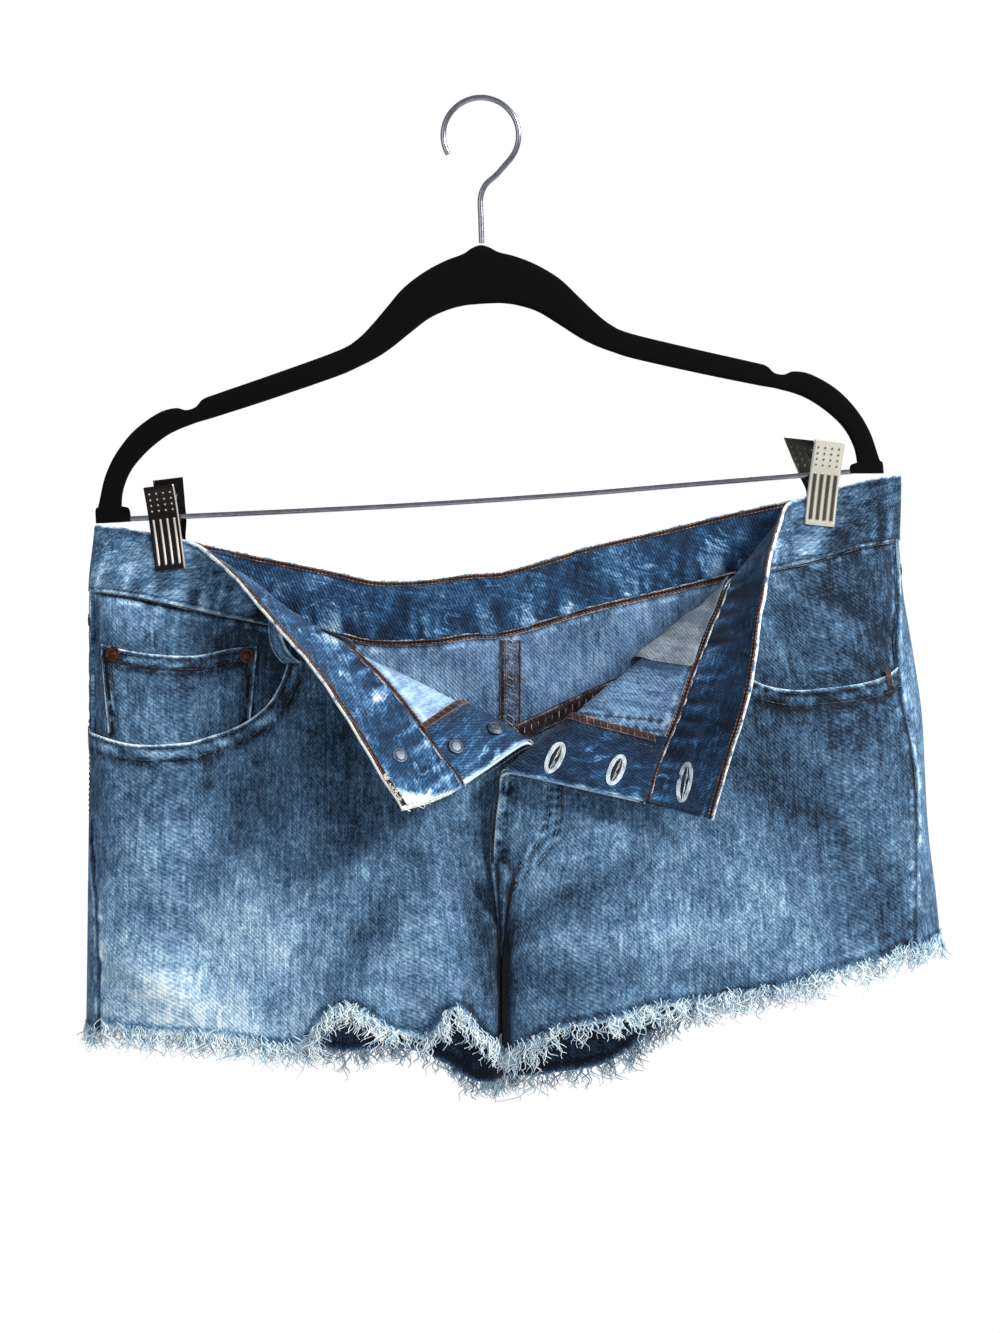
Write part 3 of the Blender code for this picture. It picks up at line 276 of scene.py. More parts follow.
BUTTONS = (
    # name, x, z, head diameter, layers under it
    ("waist_button", 4.5, -291.0, 17.0, BAND_THICK),
    ("fly_button_1", 15.5, -319.5, 14.0, DENIM),
    ("fly_button_2", 18.0, -343.5, 14.0, DENIM),
)
TACK_ACROSS = 9.0
SHANK_GAP = 0.8             # clearance of a button's shank, for the cloth's bend under it
RIVET_GAP = 0.4

# ---- hanger --------------------------------------------------------------
HANGER_TILT = radians(3.4)
NECK = (-0.4, -83.0)
ARM_SPAN = {LEFT: 1.013, RIGHT: 0.985}
BODY_THICK = 5.4
ARM = (
    # outer_x, outer_z, inner_x, inner_z: the two edges of one arm, from the
    # centre to its tip, before the hanger is tilted
    (0.0, 0.0, 0.0, -33.8),
    (5.0, -1.5, 5.0, -33.9),
    (10.4, -4.6, 11.0, -34.2),
    (20.4, -7.8, 20.0, -36.0),
    (32.4, -13.4, 31.0, -40.2),
    (45.0, -22.0, 42.0, -47.6),
    (55.5, -33.0, 54.0, -56.2),
    (64.0, -42.0, 63.0, -61.4),
    (72.5, -49.6, 73.0, -65.8),
    (84.0, -55.6, 86.0, -70.6),
    (120.0, -66.5, 122.0, -80.8),
    (154.0, -76.2, 154.0, -89.2),
    (162.0, -78.9, 161.5, -91.0),
    (166.5, -83.2, 166.0, -92.0),
    (172.0, -84.5, 170.5, -93.4),
    (178.0, -83.0, 176.5, -95.4),
    (188.0, -85.4, 185.0, -99.4),
    (202.0, -94.5, 196.0, -107.6),
    (213.0, -107.0, 205.0, -117.4),
    (220.0, -120.0, 210.0, -128.0),
    (223.8, -133.0, 211.4, -136.4),
    (225.0, -137.0, 210.8, -137.6),
    (226.6, -138.8, 207.4, -139.2),
    (226.8, -146.5, 206.6, -146.5),
)
TIP_CUT = {LEFT: -242.8, RIGHT: -214.0}   # lowest point of each arm's tip

WIRE = 3.3
HOOK_INSIDE = 20.0
HOOK_CENTRE_Z = -20.0
HOOK_FROM, HOOK_TO = -40.0, 210.0        # degrees about the hook's centre
SHANK = ((0.4, -81.8), (0.0, -68.0), (-0.2, -56.0), (2.6, -48.5), (9.0, -42.5))
ROD = 3.0
ROD_LINE = (
    # x, z: the rod sags a little between the clips
    (-199.8, -240.1),
    (-154.0, -238.0),
    (-90.0, -234.9),
    (-26.0, -231.4),
    (54.0, -226.0),
    (111.0, -221.2),
    (167.0, -216.6),
    (211.0, -213.1),
)

CLIP_WIDE, CLIP_THICK, CLIP_LEAN = 17.4, 0.9, {LEFT: radians(-7.0), RIGHT: radians(6.0)}
CLIP_ROD_X = {LEFT: -181.6, RIGHT: 197.0}
CLIP_ROD_Z = {LEFT: -238.9, RIGHT: -213.4}
# a plate's height about the rod, distance from the hanger's plane, shift sideways
FRONT_PLATE = (
    (-31.0, 3.5, 0.0),
    (-12.5, 3.5, 0.0),
    (-4.0, 4.6, 0.0),
    (6.0, 7.0, 0.0),
    (17.0, 12.5, 0.0),
)
BACK_PLATE = {
    LEFT: (
        (-31.0, 3.5, 0.0),
        (-12.5, 3.5, 1.6),
        (-4.0, 4.6, 3.0),
        (6.0, 7.0, 3.2),
        (22.5, 14.5, 3.0),
    ),
    RIGHT: (
        (-31.0, 3.5, 0.0),
        (-12.5, 3.5, 0.0),
        (-4.0, 4.6, -4.4),
        (6.0, 7.0, -9.6),
        (18.6, 13.0, -15.5),
    ),
}

# ---- how finely the sheets are made --------------------------------------
STEP, EDGE_STEP, ROLL_STEP = 2.7, 2.0, 1.45
CLOUD_SIZE = 64             # how many bumps of noise there are each way before it repeats
EDGE_ROWS = (0.9, 1.9, 3.1, 4.6, 6.2, 7.6, 9.0, 10.6)
BAND_STEP = 1.5
RIBBON_STEP, RIBBON_COLUMNS, THREAD_STEP = 1.2, 11, 0.7
LOOP_ROWS, LOOP_COLUMNS = 34, 15
BODY_SIDES, BODY_SQUARE = 20, 0.55      # of the hanger's section; 1 is round, less is squarer
BAND_PROFILE = (0.15, 0.3, 0.5, 0.7) + (1.55,) * 22 + (0.7, 0.5, 0.3, 0.15)
SEAM_MEET = 0.04            # how close panels come at a seam
CURL_REACH, CURL_BACK = 60.0, 0.4        # how far up the hem's curls go, and their share at the back
CALM = {"edge": 22, "crease": 20}        # how far from its edges the cloth is free to crease
LEAN_REACH = 60.0           # how far along the waistband its end's slant fades out
TUCK = 1.6                  # how far panels go up inside the waistband

# ---- creases, wash with painted light and shade, and sewing --------------
CREASES = {
    # half and layer: from p, z, to p, z, half width, height
    (LEFT, FRONT): (
        (-44.0, -425.0, -82.0, -524.0, 12.0, -4.2),
        (-66.0, -432.0, -100.0, -532.0, 9.0, 2.8),
        (-6.0, -440.0, -22.0, -514.0, 8.0, -3.2),
        (-20.0, -420.0, -46.0, -506.0, 10.0, 2.6),
        (-112.0, -390.0, -176.0, -474.0, 13.0, -3.0),
        (-146.0, -396.0, -200.0, -456.0, 9.0, 2.6),
        (-196.0, -452.0, -136.0, -500.0, 9.0, -2.6),
        (-206.0, -478.0, -150.0, -522.0, 8.0, 2.4),
        (-100.0, -470.0, -150.0, -532.0, 9.0, 1.8),
        (-30.0, -380.0, -96.0, -452.0, 14.0, -2.4),
        (-150.0, -318.0, -196.0, -350.0, 6.0, -1.5),
        (-138.0, -326.0, -176.0, -362.0, 5.0, 1.4),
        (-122.0, -330.0, -150.0, -368.0, 4.5, -1.3),
        (-190.0, -296.0, -130.0, -309.0, 6.0, -1.4),
    ),
    (RIGHT, FRONT): (
        (18.0, -480.0, 92.0, -432.0, 9.0, -4.2),
        (21.0, -404.5, 42.0, -402.0, 1.7, -0.8),
        (22.0, -409.5, 42.0, -408.0, 1.6, 0.7),
        (20.0, -415.0, 37.0, -414.0, 1.7, -0.6),
        (20.0, -492.0, 126.0, -468.0, 8.0, 2.6),
        (22.0, -470.0, 66.0, -408.0, 8.0, 2.4),
        (24.0, -505.0, 144.0, -500.0, 8.0, -2.6),
        (20.0, -520.0, 84.0, -522.0, 7.0, 1.8),
        (116.0, -372.0, 196.0, -424.0, 13.0, -3.2),
        (150.0, -358.0, 222.0, -392.0, 9.0, 2.4),
        (190.0, -275.0, 232.0, -318.0, 8.0, -2.4),
        (176.0, -272.0, 214.0, -322.0, 6.0, 2.2),
        (160.0, -278.0, 190.0, -326.0, 6.0, -2.0),
        (205.0, -400.0, 228.0, -480.0, 12.0, 2.6),
        (186.0, -410.0, 204.0, -492.0, 10.0, -2.2),
        (100.0, -400.0, 130.0, -450.0, 14.0, 1.6),
    ),
    (LEFT, BACK): (
        (-30.0, -470.0, -110.0, -500.0, 9.0, 2.4),
        (-10.0, -486.0, -90.0, -530.0, 8.0, -2.4),
        (-66.0, -300.0, -16.0, -342.0, 11.0, 2.4),
        (-40.0, -296.0, 4.0, -326.0, 8.0, -2.0),
        (-90.0, -330.0, -30.0, -352.0, 9.0, 1.8),
    ),
    (RIGHT, BACK): (
        (50.0, -470.0, 130.0, -495.0, 9.0, 2.4),
        (36.0, -486.0, 110.0, -530.0, 8.0, -2.4),
        (30.0, -322.0, 92.0, -286.0, 10.0, -2.2),
        (40.0, -336.0, 100.0, -306.0, 8.0, 1.6),
    ),
}
# Wash over the panels, and painted light and shade; the rows marked below are painted sunlight, painted
# shadow or painted shade.
WASH_AND_PAINTED_LIGHT = {
    # half and layer: p, z, half width, half height, how much paler
    (LEFT, FRONT): (
        # paler lower left leg and hem: partly wash, partly painted sunlight
        (-135.0, -480.0, 72.0, 48.0, 0.15),
        (-178.0, -508.0, 46.0, 34.0, 0.17),
        (-150.0, -530.0, 74.0, 13.0, 0.2),
        (-28.0, -490.0, 26.0, 40.0, 0.04),
        # painted sunlight on the waistband and the pocket at the far left
        (-205.0, -275.0, 40.0, 26.0, 0.1),
        (-180.0, -295.0, 36.0, 12.0, 0.1),
        # painted shadow cast by the left flap, below it and to the right of the coin pocket
        (-84.0, -368.0, 34.0, 44.0, -0.2),
        (-130.0, -300.0, 22.0, 40.0, -0.22),
        # painted shade in the recess where the left front goes under the right, and in the fold valley beside
        # the crotch
        (8.0, -440.0, 22.0, 70.0, -0.14),
        (-8.0, -482.0, 7.0, 34.0, -0.16),
        (-150.0, -395.0, 60.0, 22.0, -0.08),
        (-165.0, -345.0, 34.0, 26.0, 0.04),
        (-20.0, -330.0, 80.0, 60.0, 0.06),
        (-225.0, -400.0, 14.0, 70.0, -0.12),
    ),
    (RIGHT, FRONT): (
        (128.0, -480.0, 78.0, 44.0, 0.16),
        (58.0, -452.0, 34.0, 60.0, -0.08),
        (34.0, -405.0, 18.0, 24.0, 0.04),
        (100.0, -350.0, 60.0, 30.0, -0.04),
        # painted shade to the right of the right flap
        (190.0, -378.0, 44.0, 34.0, -0.17),
        (160.0, -345.0, 30.0, 24.0, -0.13),
        (225.0, -450.0, 26.0, 80.0, -0.12),
        (225.0, -300.0, 34.0, 40.0, -0.12),
        (230.0, -240.0, 34.0, 24.0, -0.1),
        # painted shade by the crease between the legs
        (20.0, -460.0, 14.0, 46.0, -0.1),
    ),
    (LEFT, BACK): (
        (-90.0, -420.0, 70.0, 60.0, 0.1),
        (-30.0, -330.0, 50.0, 26.0, 0.03),
    ),
    (RIGHT, BACK): (
        (120.0, -420.0, 70.0, 60.0, 0.1),
    ),
}
ROPE = 3.6                  # length of the puckers along a turned edge
TWILL = 0.85                # from one diagonal rib of the weave to the next
BAND_TOP_STITCH, BAND_LOW_STITCH = 0.06, 0.945      # rows on its outside, as shares of its height
BAND_INSIDE_ROWS = (0.032, 0.08, 0.925, 0.975)
FRINGE_DENSITY = {FRONT: 3.3, BACK: 2.5}     # yarns to a millimetre of hem
FRINGE_LONG = {FRONT: 15.0, BACK: 13.5}
YARN_POINTS, YARN_SIDES, YARN_THICK = 8, 4, (0.24, 0.44)
LONG_YARNS, BLUE_YARNS = 0.04, 0.16         # their share of all yarns
OVER_YARNS, OVER_FROM, UNDER_FROM = 0.45, 0.34, 0.12    # share over the cloth; starts above the hem
BUTTONHOLES = (
    # p, z, length, width, tilt in degrees, whether on the fly facing
    (18.3, -285.5, 23.0, 5.6, 88.0, False),
    (20.0, -322.3, 17.5, 6.6, 76.0, True),
    (22.5, -355.5, 17.5, 6.6, 73.0, True),
)
FLY_ROWS = (
    # the two rows of stitches that run down the fly and curve in under it
    ((54.0, -300.0), (50.0, -345.0), (44.5, -395.0), (44.2, -415.0), (39.0, -430.5), (31.0, -441.0),
     (19.5, -452.5)),
    ((47.6, -300.0), (43.8, -345.0), (38.4, -395.0), (37.6, -413.0), (33.0, -426.5), (26.0, -436.0),
     (16.5, -446.0)),
)
TACKS = (
    # thread, from p, z, to p, z, half, height over the cloth, width, thread's radius
    ("tonal", (14.0, -434.0), (23.0, -441.0), RIGHT, 0.0, 2.4, 0.24),
    ("brown", (218.0, -336.0), (218.0, -326.0), RIGHT, 0.6, 3.0, 0.3),
    ("brown", (-219.5, -368.5), (-219.5, -359.0), LEFT, 0.4, 2.2, 0.26),
)
FELLED_ROWS = (-2.6, 2.6)   # rows of stitches on each side of a felled seam's middle
CLIP_RIBS = (-5.9, -1.95, 2.0, 5.95)
CLIP_DIMPLES = (3.2, 6.4, 9.6, 12.8)
RIB_HIGH, RIB_WIDE, DIMPLE_HIGH = 0.55, 0.62, 0.5
RIBS_FROM, RIBS_TO, RIBS_FADE = 2.5, -1.0, 1.2      # from over the jaw's edge to under the rod
INSEAM_TOP, INSEAM_OFF, INSEAM_THICK = -449.0, 0.44, 0.52   # from, off the crease, yarn's radius
CENTRE_SEAM_TOP = -309.5                    # where the centre back seam comes out of the waistband
CROTCH_SEAM = (-436.0, -490.0, 0.4)         # from, to, how much of its width is left at the end
CROTCH_REACH = {LEFT: 8.0, RIGHT: 14.5}     # to each side of the crease
CREASE_PAINTED_SHADE = {LEFT: 9.0, RIGHT: 15.0}      # how far the painted shade of the crease between the legs reaches to each side
CREASE_SHADE = (-466.0, 30.0)               # where that begins, and over what height
ROD_INTO_FOOT = 2.5         # how far the rod goes into each foot of the hanger
CORNER_THREADS = 46         # loose threads at the left flap's worn corner
SPRING_WIRE, SPRING_TURNS, SPRING_RADIUS, SPRING_WIDE, SPRING_ARM = 0.9, 4.5, 2.6, 9.0, 12.5

# ---- colours, from dark to pale ------------------------------------------
SHADES = {
    "outside": ((0.0, "070c13"), (0.25, "1a2c3f"), (0.5, "466582"), (0.68, "7395b3"),
                (0.86, "afcadb"), (1.0, "e4edee")),
    "inside": ((0.0, "111c29"), (0.3, "37516f"), (0.5, "5f7ea0"), (0.7, "86a7c9"),
               (0.88, "a9c6e0"), (1.0, "c2d7e6")),
    "indigo": ((0.0, "04080f"), (0.3, "0f1f33"), (0.5, "203d5c"), (0.64, "3b6690"),
               (0.8, "86abc9"), (1.0, "eceddf")),
    "edge": ((0.0, "111b27"), (0.3, "53718b"), (0.55, "a3b9c7"), (0.78, "d7e1e3"), (1.0, "f0f0ea")),
    "felled": ((0.0, "0e0a0c"), (0.25, "231b1e"), (0.5, "484046"), (0.75, "8f99a5"), (1.0, "dfe3e4")),
    # cotton: the pocket bags, darkened to a blue-grey as painted shade, for they lie in shade behind the
    # fronts
    "cotton": ((0.0, "2e3843"), (0.5, "5f6c79"), (0.75, "a3adb4"), (1.0, "d3d8da")),
    "fray": ((0.0, "2b4a6d"), (0.35, "7aa2c0"), (0.6, "bcd8e4"), (1.0, "fafdfc")),
    # clip_dark: the left clip's plates, whose dark base colour is a painted dark reflection; its pale stops
    # give painted highlights
    "clip_dark": ((0.0, "110807"), (0.3, "1e110f"), (0.6, "b9aca2"), (1.0, "f4efe6")),
    "clip_pale": ((0.0, "e9e5d6"), (0.25, "d3ccb6"), (0.6, "6b6456"), (1.0, "2f2b26")),
    "clip_grey": ((0.0, "211f1b"), (0.3, "403d37"), (0.6, "d3d0c6"), (1.0, "f6f4ee")),
}
THREADS = {
    # thread, then its look's name and its colours
    "tonal": ("blue", "0e1722", "263748", "5d7488"),
    "grey": ("grey", "3a4c5c", "6c8496", "a5b8c4"),
    "copper": ("copper", "271612", "6f4839", "bb9785"),
    "brown": ("brown", "150b0a", "3c231e", "74503f"),
    "tan": ("tan", "5f4639", "9b8474", "d2c3b4"),
    "pale": ("pale", "7f95a3", "cbd6db", "f4f7f6"),
    "cream": ("cream", "8f9a92", "d9dccb", "f6f5e8"),
    # hole: near-black, painted shade in the buttonholes' slits and in the gap between the legs at each inseam
    "hole": ("dark", "020407", "0e1620"),
}

# ---- stage and camera ----------------------------------------------------
CAMERA_AWAY, FRAME_HIGH, FRAME_CENTRE = 1600.0, 765.0, (10.9, -324.9)
SENSOR = 36.0               # width of the camera's sensor
FLOOR_Z, FLOOR_RINGS, FLOOR_SIDES = -1.6, 4, 64
BACKDROP, BACKDROP_BRIGHT = (1.0, 1.0, 1.0, 1.0), 1.0
AIR, AIR_BRIGHT = (0.86, 0.92, 1.0, 1.0), 0.38
LIGHTS_AIM = (0.02, 0.0, -0.38)
LIGHTS = (
    # name, place, size, power, colour
    ("key", (1.6, -1.1, 0.8), 0.45, 70.0, (1.0, 0.985, 0.96)),
    ("fill", (-1.2, -1.5, 0.0), 1.4, 9.0, (0.9, 0.95, 1.0)),
    ("back", (0.3, 1.3, 0.4), 1.2, 12.0, (1.0, 1.0, 1.0)),
)

# ---- curves and noise ----------------------------------------------------
def smoothstep(value):
    value = np.clip(value, 0.0, 1.0)
    return value * value * (3 - 2 * value)


def bell(off, wide, power=2):
    """A smooth hump, 1 at 0."""
    return np.exp(-(off / wide) ** power)


def read(rows, at, column):
    """A smooth curve through one column of a table, read at values of its first."""
    table = np.array([[row[0], row[column]] for row in rows], float)
    xs, ys = table[:, 0], table[:, 1]
    index = np.arange(len(xs))
    before, after = np.maximum(index - 1, 0), np.minimum(index + 1, len(xs) - 1)
    slope = (ys[after] - ys[before]) / (xs[after] - xs[before])
    at = np.clip(at, xs[0], xs[-1])
    i = np.clip(np.searchsorted(xs, at, side="right") - 1, 0, len(xs) - 2)
    wide = xs[i + 1] - xs[i]
    t = (at - xs[i]) / wide
    return ((1 + 2 * t) * (1 - t) ** 2 * ys[i] + t * (1 - t) ** 2 * wide * slope[i]
            + t * t * (3 - 2 * t) * ys[i + 1] - t * t * (1 - t) * wide * slope[i + 1])


def down(rows, z, column):
    """The same for a table whose first column falls."""
    return read([(-row[0],) + tuple(row[1:]) for row in rows], -np.asarray(z, float), column)


def span(start, stop, step):
    """Even values from start to stop, about `step` apart."""
    return np.linspace(start, stop, max(1, round(abs(stop - start) / step)) + 1)


def cloud(u, v, seed):
    """Smooth noise from -1 to 1 over a plane, one bump to a unit."""
    size = CLOUD_SIZE
    grid = np.random.RandomState(seed).uniform(-1, 1, (size, size))
    u, v = np.broadcast_arrays(np.asarray(u, float), np.asarray(v, float))
    i, j = np.floor(u).astype(int), np.floor(v).astype(int)
    s, t = smoothstep(u - i), smoothstep(v - j)
    i0, i1, j0, j1 = i % size, (i + 1) % size, j % size, (j + 1) % size
    low = grid[i0, j0] * (1 - s) + grid[i1, j0] * s
    high = grid[i0, j1] * (1 - s) + grid[i1, j1] * s
    return low * (1 - t) + high * t


# ---- the shape of the cloth ----------------------------------------------
def edge_x(z, half):
    return down(OUTLINE, z, 1 if half == LEFT else 2)


def seam_x(z, half):
    return down(OUTLINE, z, 3 if half == LEFT else 4)


def waist_z(x, layer, half):
    column = 1 if layer == BACK else (2 if half == LEFT else 3)
    return read(WAIST, x, column)


def hem_z(x, layer, half):
    return read(HEM_LEFT if half == LEFT else HEM_RIGHT, x, 1 if layer == FRONT else 2)


def rounding(share):
    share = np.clip(share, 0.0, 1.0)
    return (1 - (1 - share) ** ROUNDING) ** (1 / ROUNDING)


def section(x, z, half):
    """Share of its full depth that a layer has at x, on one half of the body."""
    outer = rounding((x - edge_x(z, half)) * -half / END_REACH)
    inner = rounding((x - CREASE_X - half * LEG_APART) * half / LEG_REACH)
    close = smoothstep((RISE_TOP - z) / (RISE_TOP - CROTCH))
    return outer * (1 - close * (1 - inner))


def pinch(x, z, layer, half):
    """0 where a clip holds both layers together, 1 away from the clips."""
    drop = np.maximum(waist_z(x, layer, half) - z, 0.0)
    free = 1.0
    for clip_x in CLIP_X.values():
        reach = (((x - clip_x) / PINCH_WIDE) ** 4 + (drop / PINCH_DEEP) ** 4) ** 0.25
        free = free * smoothstep((reach - PINCH_FLAT) / (1 - PINCH_FLAT))
    return free


def curls(x, z, layer, half):
    near = smoothstep(1 - (z - hem_z(x, layer, half)) / CURL_REACH)
    total = sum(out * bell(x - cx, wide) for cx, wide, out in HEM_CURLS)
    return near * total * (1.0 if layer == FRONT else CURL_BACK)


def depth(x, z, layer, half):
    """Y of the middle of a layer at (x, z)."""
    share = section(x, z, half)
    drop = waist_z(x, layer, half) - z
    belly = read(BELLY, drop, 1 if layer == FRONT else 2) * pinch(x, z, layer, half)
    rest = (BAND_THICK / 2 + SEAM_GAP) * np.tanh(4 * share)
    out = rest + (belly + curls(x, z, layer, half)) * share
    if layer == FRONT and half == LEFT:
        shelf = smoothstep((x - RECESS_FROM) / (RECESS_TO - RECESS_FROM))
        out = out - RECESS * shelf * smoothstep((z - RECESS_END) / (RECESS_TOP - RECESS_END))
    return layer * out


def roll_x(p, z, half):
    """x of pattern coordinate p, which is unrolled at the side and the crease."""
    p, z = np.broadcast_arrays(np.asarray(p, float), np.asarray(z, float))
    limit, edge_p = CREASE_X + half * LEG_APART, EDGE_P[half]
    edge = edge_x(z, half)
    inward = (p - edge_p) * -half
    turn = np.clip(np.abs(inward) / END_REACH, 0, 1) * pi / 2
    side = edge - half * END_REACH * (1 - np.cos(turn) ** (2 / ROUNDING))
    fade = np.clip((limit - p) * -half / ((limit - edge_p) * -half - END_REACH), 0.0, 1.0)
    shifted = p + (edge - edge_p) * fade
    off = (p - limit) * half
    close = smoothstep((RISE_TOP - z) / (RISE_TOP - CROTCH))
    angle = np.clip(off / LEG_REACH, 0, 1) * pi / 2
    turned = LEG_REACH * (1 - np.cos(angle) ** (2 / ROUNDING))
    dips = (off > 0) & (off < LEG_REACH)
    shifted = shifted + np.where(dips, half * close * (turned - off), 0.0)
    return np.where(inward < END_REACH, side, shifted)


def unroll(x, z, half):
    """Pattern coordinate of x on the side's own half."""
    x, z = np.broadcast_arrays(np.asarray(x, float), np.asarray(z, float))
    low = np.full(x.shape, EDGE_P[half] if half == LEFT else CREASE_X - 60)
    high = np.full(x.shape, CREASE_X + 60 if half == LEFT else EDGE_P[half])
    for _ in range(40):
        middle = (low + high) / 2
        under = roll_x(middle, z, half) < x
        low, high = np.where(under, middle, low), np.where(under, high, middle)
    return (low + high) / 2


def fold_line(half):
    """Start of a front's fold, its direction and the direction across it, and its length."""
    (sx, sz), (ex, ez) = FOLDS[half]["start"], FOLDS[half]["end"]
    length = hypot(ex - sx, ez - sz)
    ux, uz = (ex - sx) / length, (ez - sz) / length
    return (sx, sz), (ux, uz), (uz * half, -ux * half), length


def fold_at(x, z, half):
    """How far (x, z) lies past the beginning of the fold's roll, its radius and its turn."""
    (sx, sz), (ux, uz), (nx, nz), _ = fold_line(half)
    rows = FOLDS[half]["rows"]
    s = (x - sx) * ux + (z - sz) * uz
    radius = read(rows, s, 2)
    over = (x - sx) * nx + (z - sz) * nz - read(rows, s, 1) + radius
    return over, radius, np.radians(read(rows, s, 3))


def folded(x, z, half):
    """Turns what lies above the front's fold line over towards the viewer."""
    over, radius, turn = fold_at(x, z, half)
    nx, nz = fold_line(half)[2]
    bent = np.clip(over / radius, 0, turn)
    rest = over - bent * radius
    reach = radius * np.sin(bent) + rest * np.cos(turn)
    lift = radius * (1 - np.cos(bent)) + rest * np.sin(turn)
    flat = (over <= 0) | (turn <= 0.01)
    reach, lift = np.where(flat, over, reach), np.where(flat, 0.0, lift)
    return x + nx * (reach - over), z + nz * (reach - over), lift


def middle_of(p, z, layer, half):
    """Middle of the cloth over pattern points."""
    p, z = np.broadcast_arrays(np.asarray(p, float), np.asarray(z, float))
    x = roll_x(p, z, half)
    if layer == BACK:
        wrapped = (p - EDGE_P[half]) * half > 0
        y = np.where(wrapped, depth(x, z, FRONT, half), depth(x, z, BACK, half))
        return np.stack([x, y, z], -1)
    x, z, lift = folded(x, z, half)
    return np.stack([x, depth(x, z, FRONT, half) - lift, z], -1)


def unit(v):
    return v / np.maximum(np.linalg.norm(v, axis=-1, keepdims=True), 1e-9)


def cloth(p, z, layer, half):
    """Places on the cloth, its outward normals and the directions across it."""
    e = 0.35
    across = middle_of(p + e, z, layer, half) - middle_of(p - e, z, layer, half)
    upward = middle_of(p, z + e, layer, half) - middle_of(p, z - e, layer, half)
    normal = unit(np.cross(across, upward) * (1 if layer == FRONT else -1))
    place = middle_of(p, z, layer, half) + normal * relief(p, z, layer, half)[..., None]
    return place, normal, unit(across)


def near_line(p, z, line):
    """Distance of pattern points from a line, and how far along it the nearest spot is."""
    line = np.asarray(line, float)
    best, along, run = np.full(np.shape(p), 1e9), np.zeros(np.shape(p)), 0.0
    for (ax, az), (bx, bz) in zip(line, line[1:]):
        dx, dz = bx - ax, bz - az
        length = max(hypot(dx, dz), 1e-6)
        t = np.clip(((p - ax) * dx + (z - az) * dz) / length ** 2, 0, 1)
        off = np.hypot(p - ax - t * dx, z - az - t * dz)
        along = np.where(off < best, run + t * length, along)
        best = np.minimum(off, best)
        run += length
    return best, along


def relief(p, z, layer, half):
    """How far creases and rumples lift the cloth off its plain form, along its normal."""
    p, z = np.asarray(p, float), np.asarray(z, float)
    out = 1.1 * cloud(p / 34 + 3, z / 42 + 9, 11 + layer) + 0.5 * cloud(p / 14, z / 19, 17 + half)
    out = out + 0.3 * cloud(p / 6.5, z / 8.5, 19 + half)
    for ax, az, bx, bz, wide, high in CREASES[half, layer]:
        off, along = near_line(p, z, ((ax, az), (bx, bz)))
        ends = np.sin(np.clip(along / hypot(bx - ax, bz - az), 0, 1) * pi) ** 0.6
        wave = 1 + 0.3 * cloud(along / 14, 0.5, int(abs(ax)) + 5)
        out = out + high * ends * wave * bell(off, wide)
    edge = smoothstep(np.abs(p - EDGE_P[half]) / CALM["edge"])
    crease = smoothstep(np.abs(p - CREASE_X - half * LEG_APART) / CALM["crease"])
    free = 0.15 + 0.85 * pinch(roll_x(p, z, half), z, layer, half)
    return out * edge * np.where(z < RISE_TOP, crease, 1.0) * free


def grid_faces(rows, ring, closed=True, turned_over=False):
    """Quads over rows of `ring` points; a closed row joins up with its own start."""
    i, k = np.meshgrid(np.arange(rows - 1), np.arange(ring if closed else ring - 1), indexing="ij")
    a, b = i * ring + k, i * ring + (k + 1) % ring
    corners = [a, a + ring, b + ring, b] if turned_over else [a, b, b + ring, a + ring]
    return np.stack(corners, -1).reshape(-1, 4)


def end_caps(rows, ring):
    """Quads across the first and the last closed row, which are flat loops."""
    return np.array([(s + j, s + j + 1, s + ring - 2 - j, s + ring - 1 - j)
                     for s in (0, (rows - 1) * ring) for j in range(ring // 2 - 1)])


def placed(name, data):
    obj = bpy.data.objects.new(name, data)
    bpy.context.collection.objects.link(obj)
    return obj


def mesh_piece(name, points, faces, looks, slots=None, uv=None, tone=None, sharp=None):
    """A named piece from arrays of points in millimetres and faces of equal size."""
    points, faces = np.asarray(points, float).reshape(-1, 3), np.asarray(faces, np.int32)
    count, size = faces.shape
    mesh = bpy.data.meshes.new(name)
    mesh.vertices.add(len(points))
    mesh.vertices.foreach_set("co", (points * MM).ravel())
    mesh.loops.add(count * size)
    mesh.loops.foreach_set("vertex_index", faces.ravel())
    mesh.polygons.add(count)
    mesh.polygons.foreach_set("loop_start", np.arange(0, count * size, size, dtype=np.int32))
    for look in looks:
        mesh.materials.append(look)
    if slots is not None:
        mesh.polygons.foreach_set("material_index", np.asarray(slots, np.int32))
    if uv is not None:
        flat = np.asarray(uv, float).reshape(-1, 2)
        mesh.uv_layers.new(name="pattern").data.foreach_set("uv", (flat[faces.ravel()] * MM).ravel())
    if tone is not None:
        shade = np.asarray(tone, float).ravel()
        mesh.attributes.new("tone", "FLOAT", "POINT").data.foreach_set("value", shade)
    mesh.update(calc_edges=True)
    mesh.polygons.foreach_set("use_smooth", np.full(count, True))
    if sharp:
        mesh.set_sharp_from_angle(angle=radians(sharp))
    obj = placed(name, mesh)
    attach(obj, "root")
    return obj


def stands_for(piece, node=None):
    """Hides the solid that a piece stands for; the solid has the piece's name without its first word."""
    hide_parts(node or piece.name.split("_", 1)[1])
    return piece


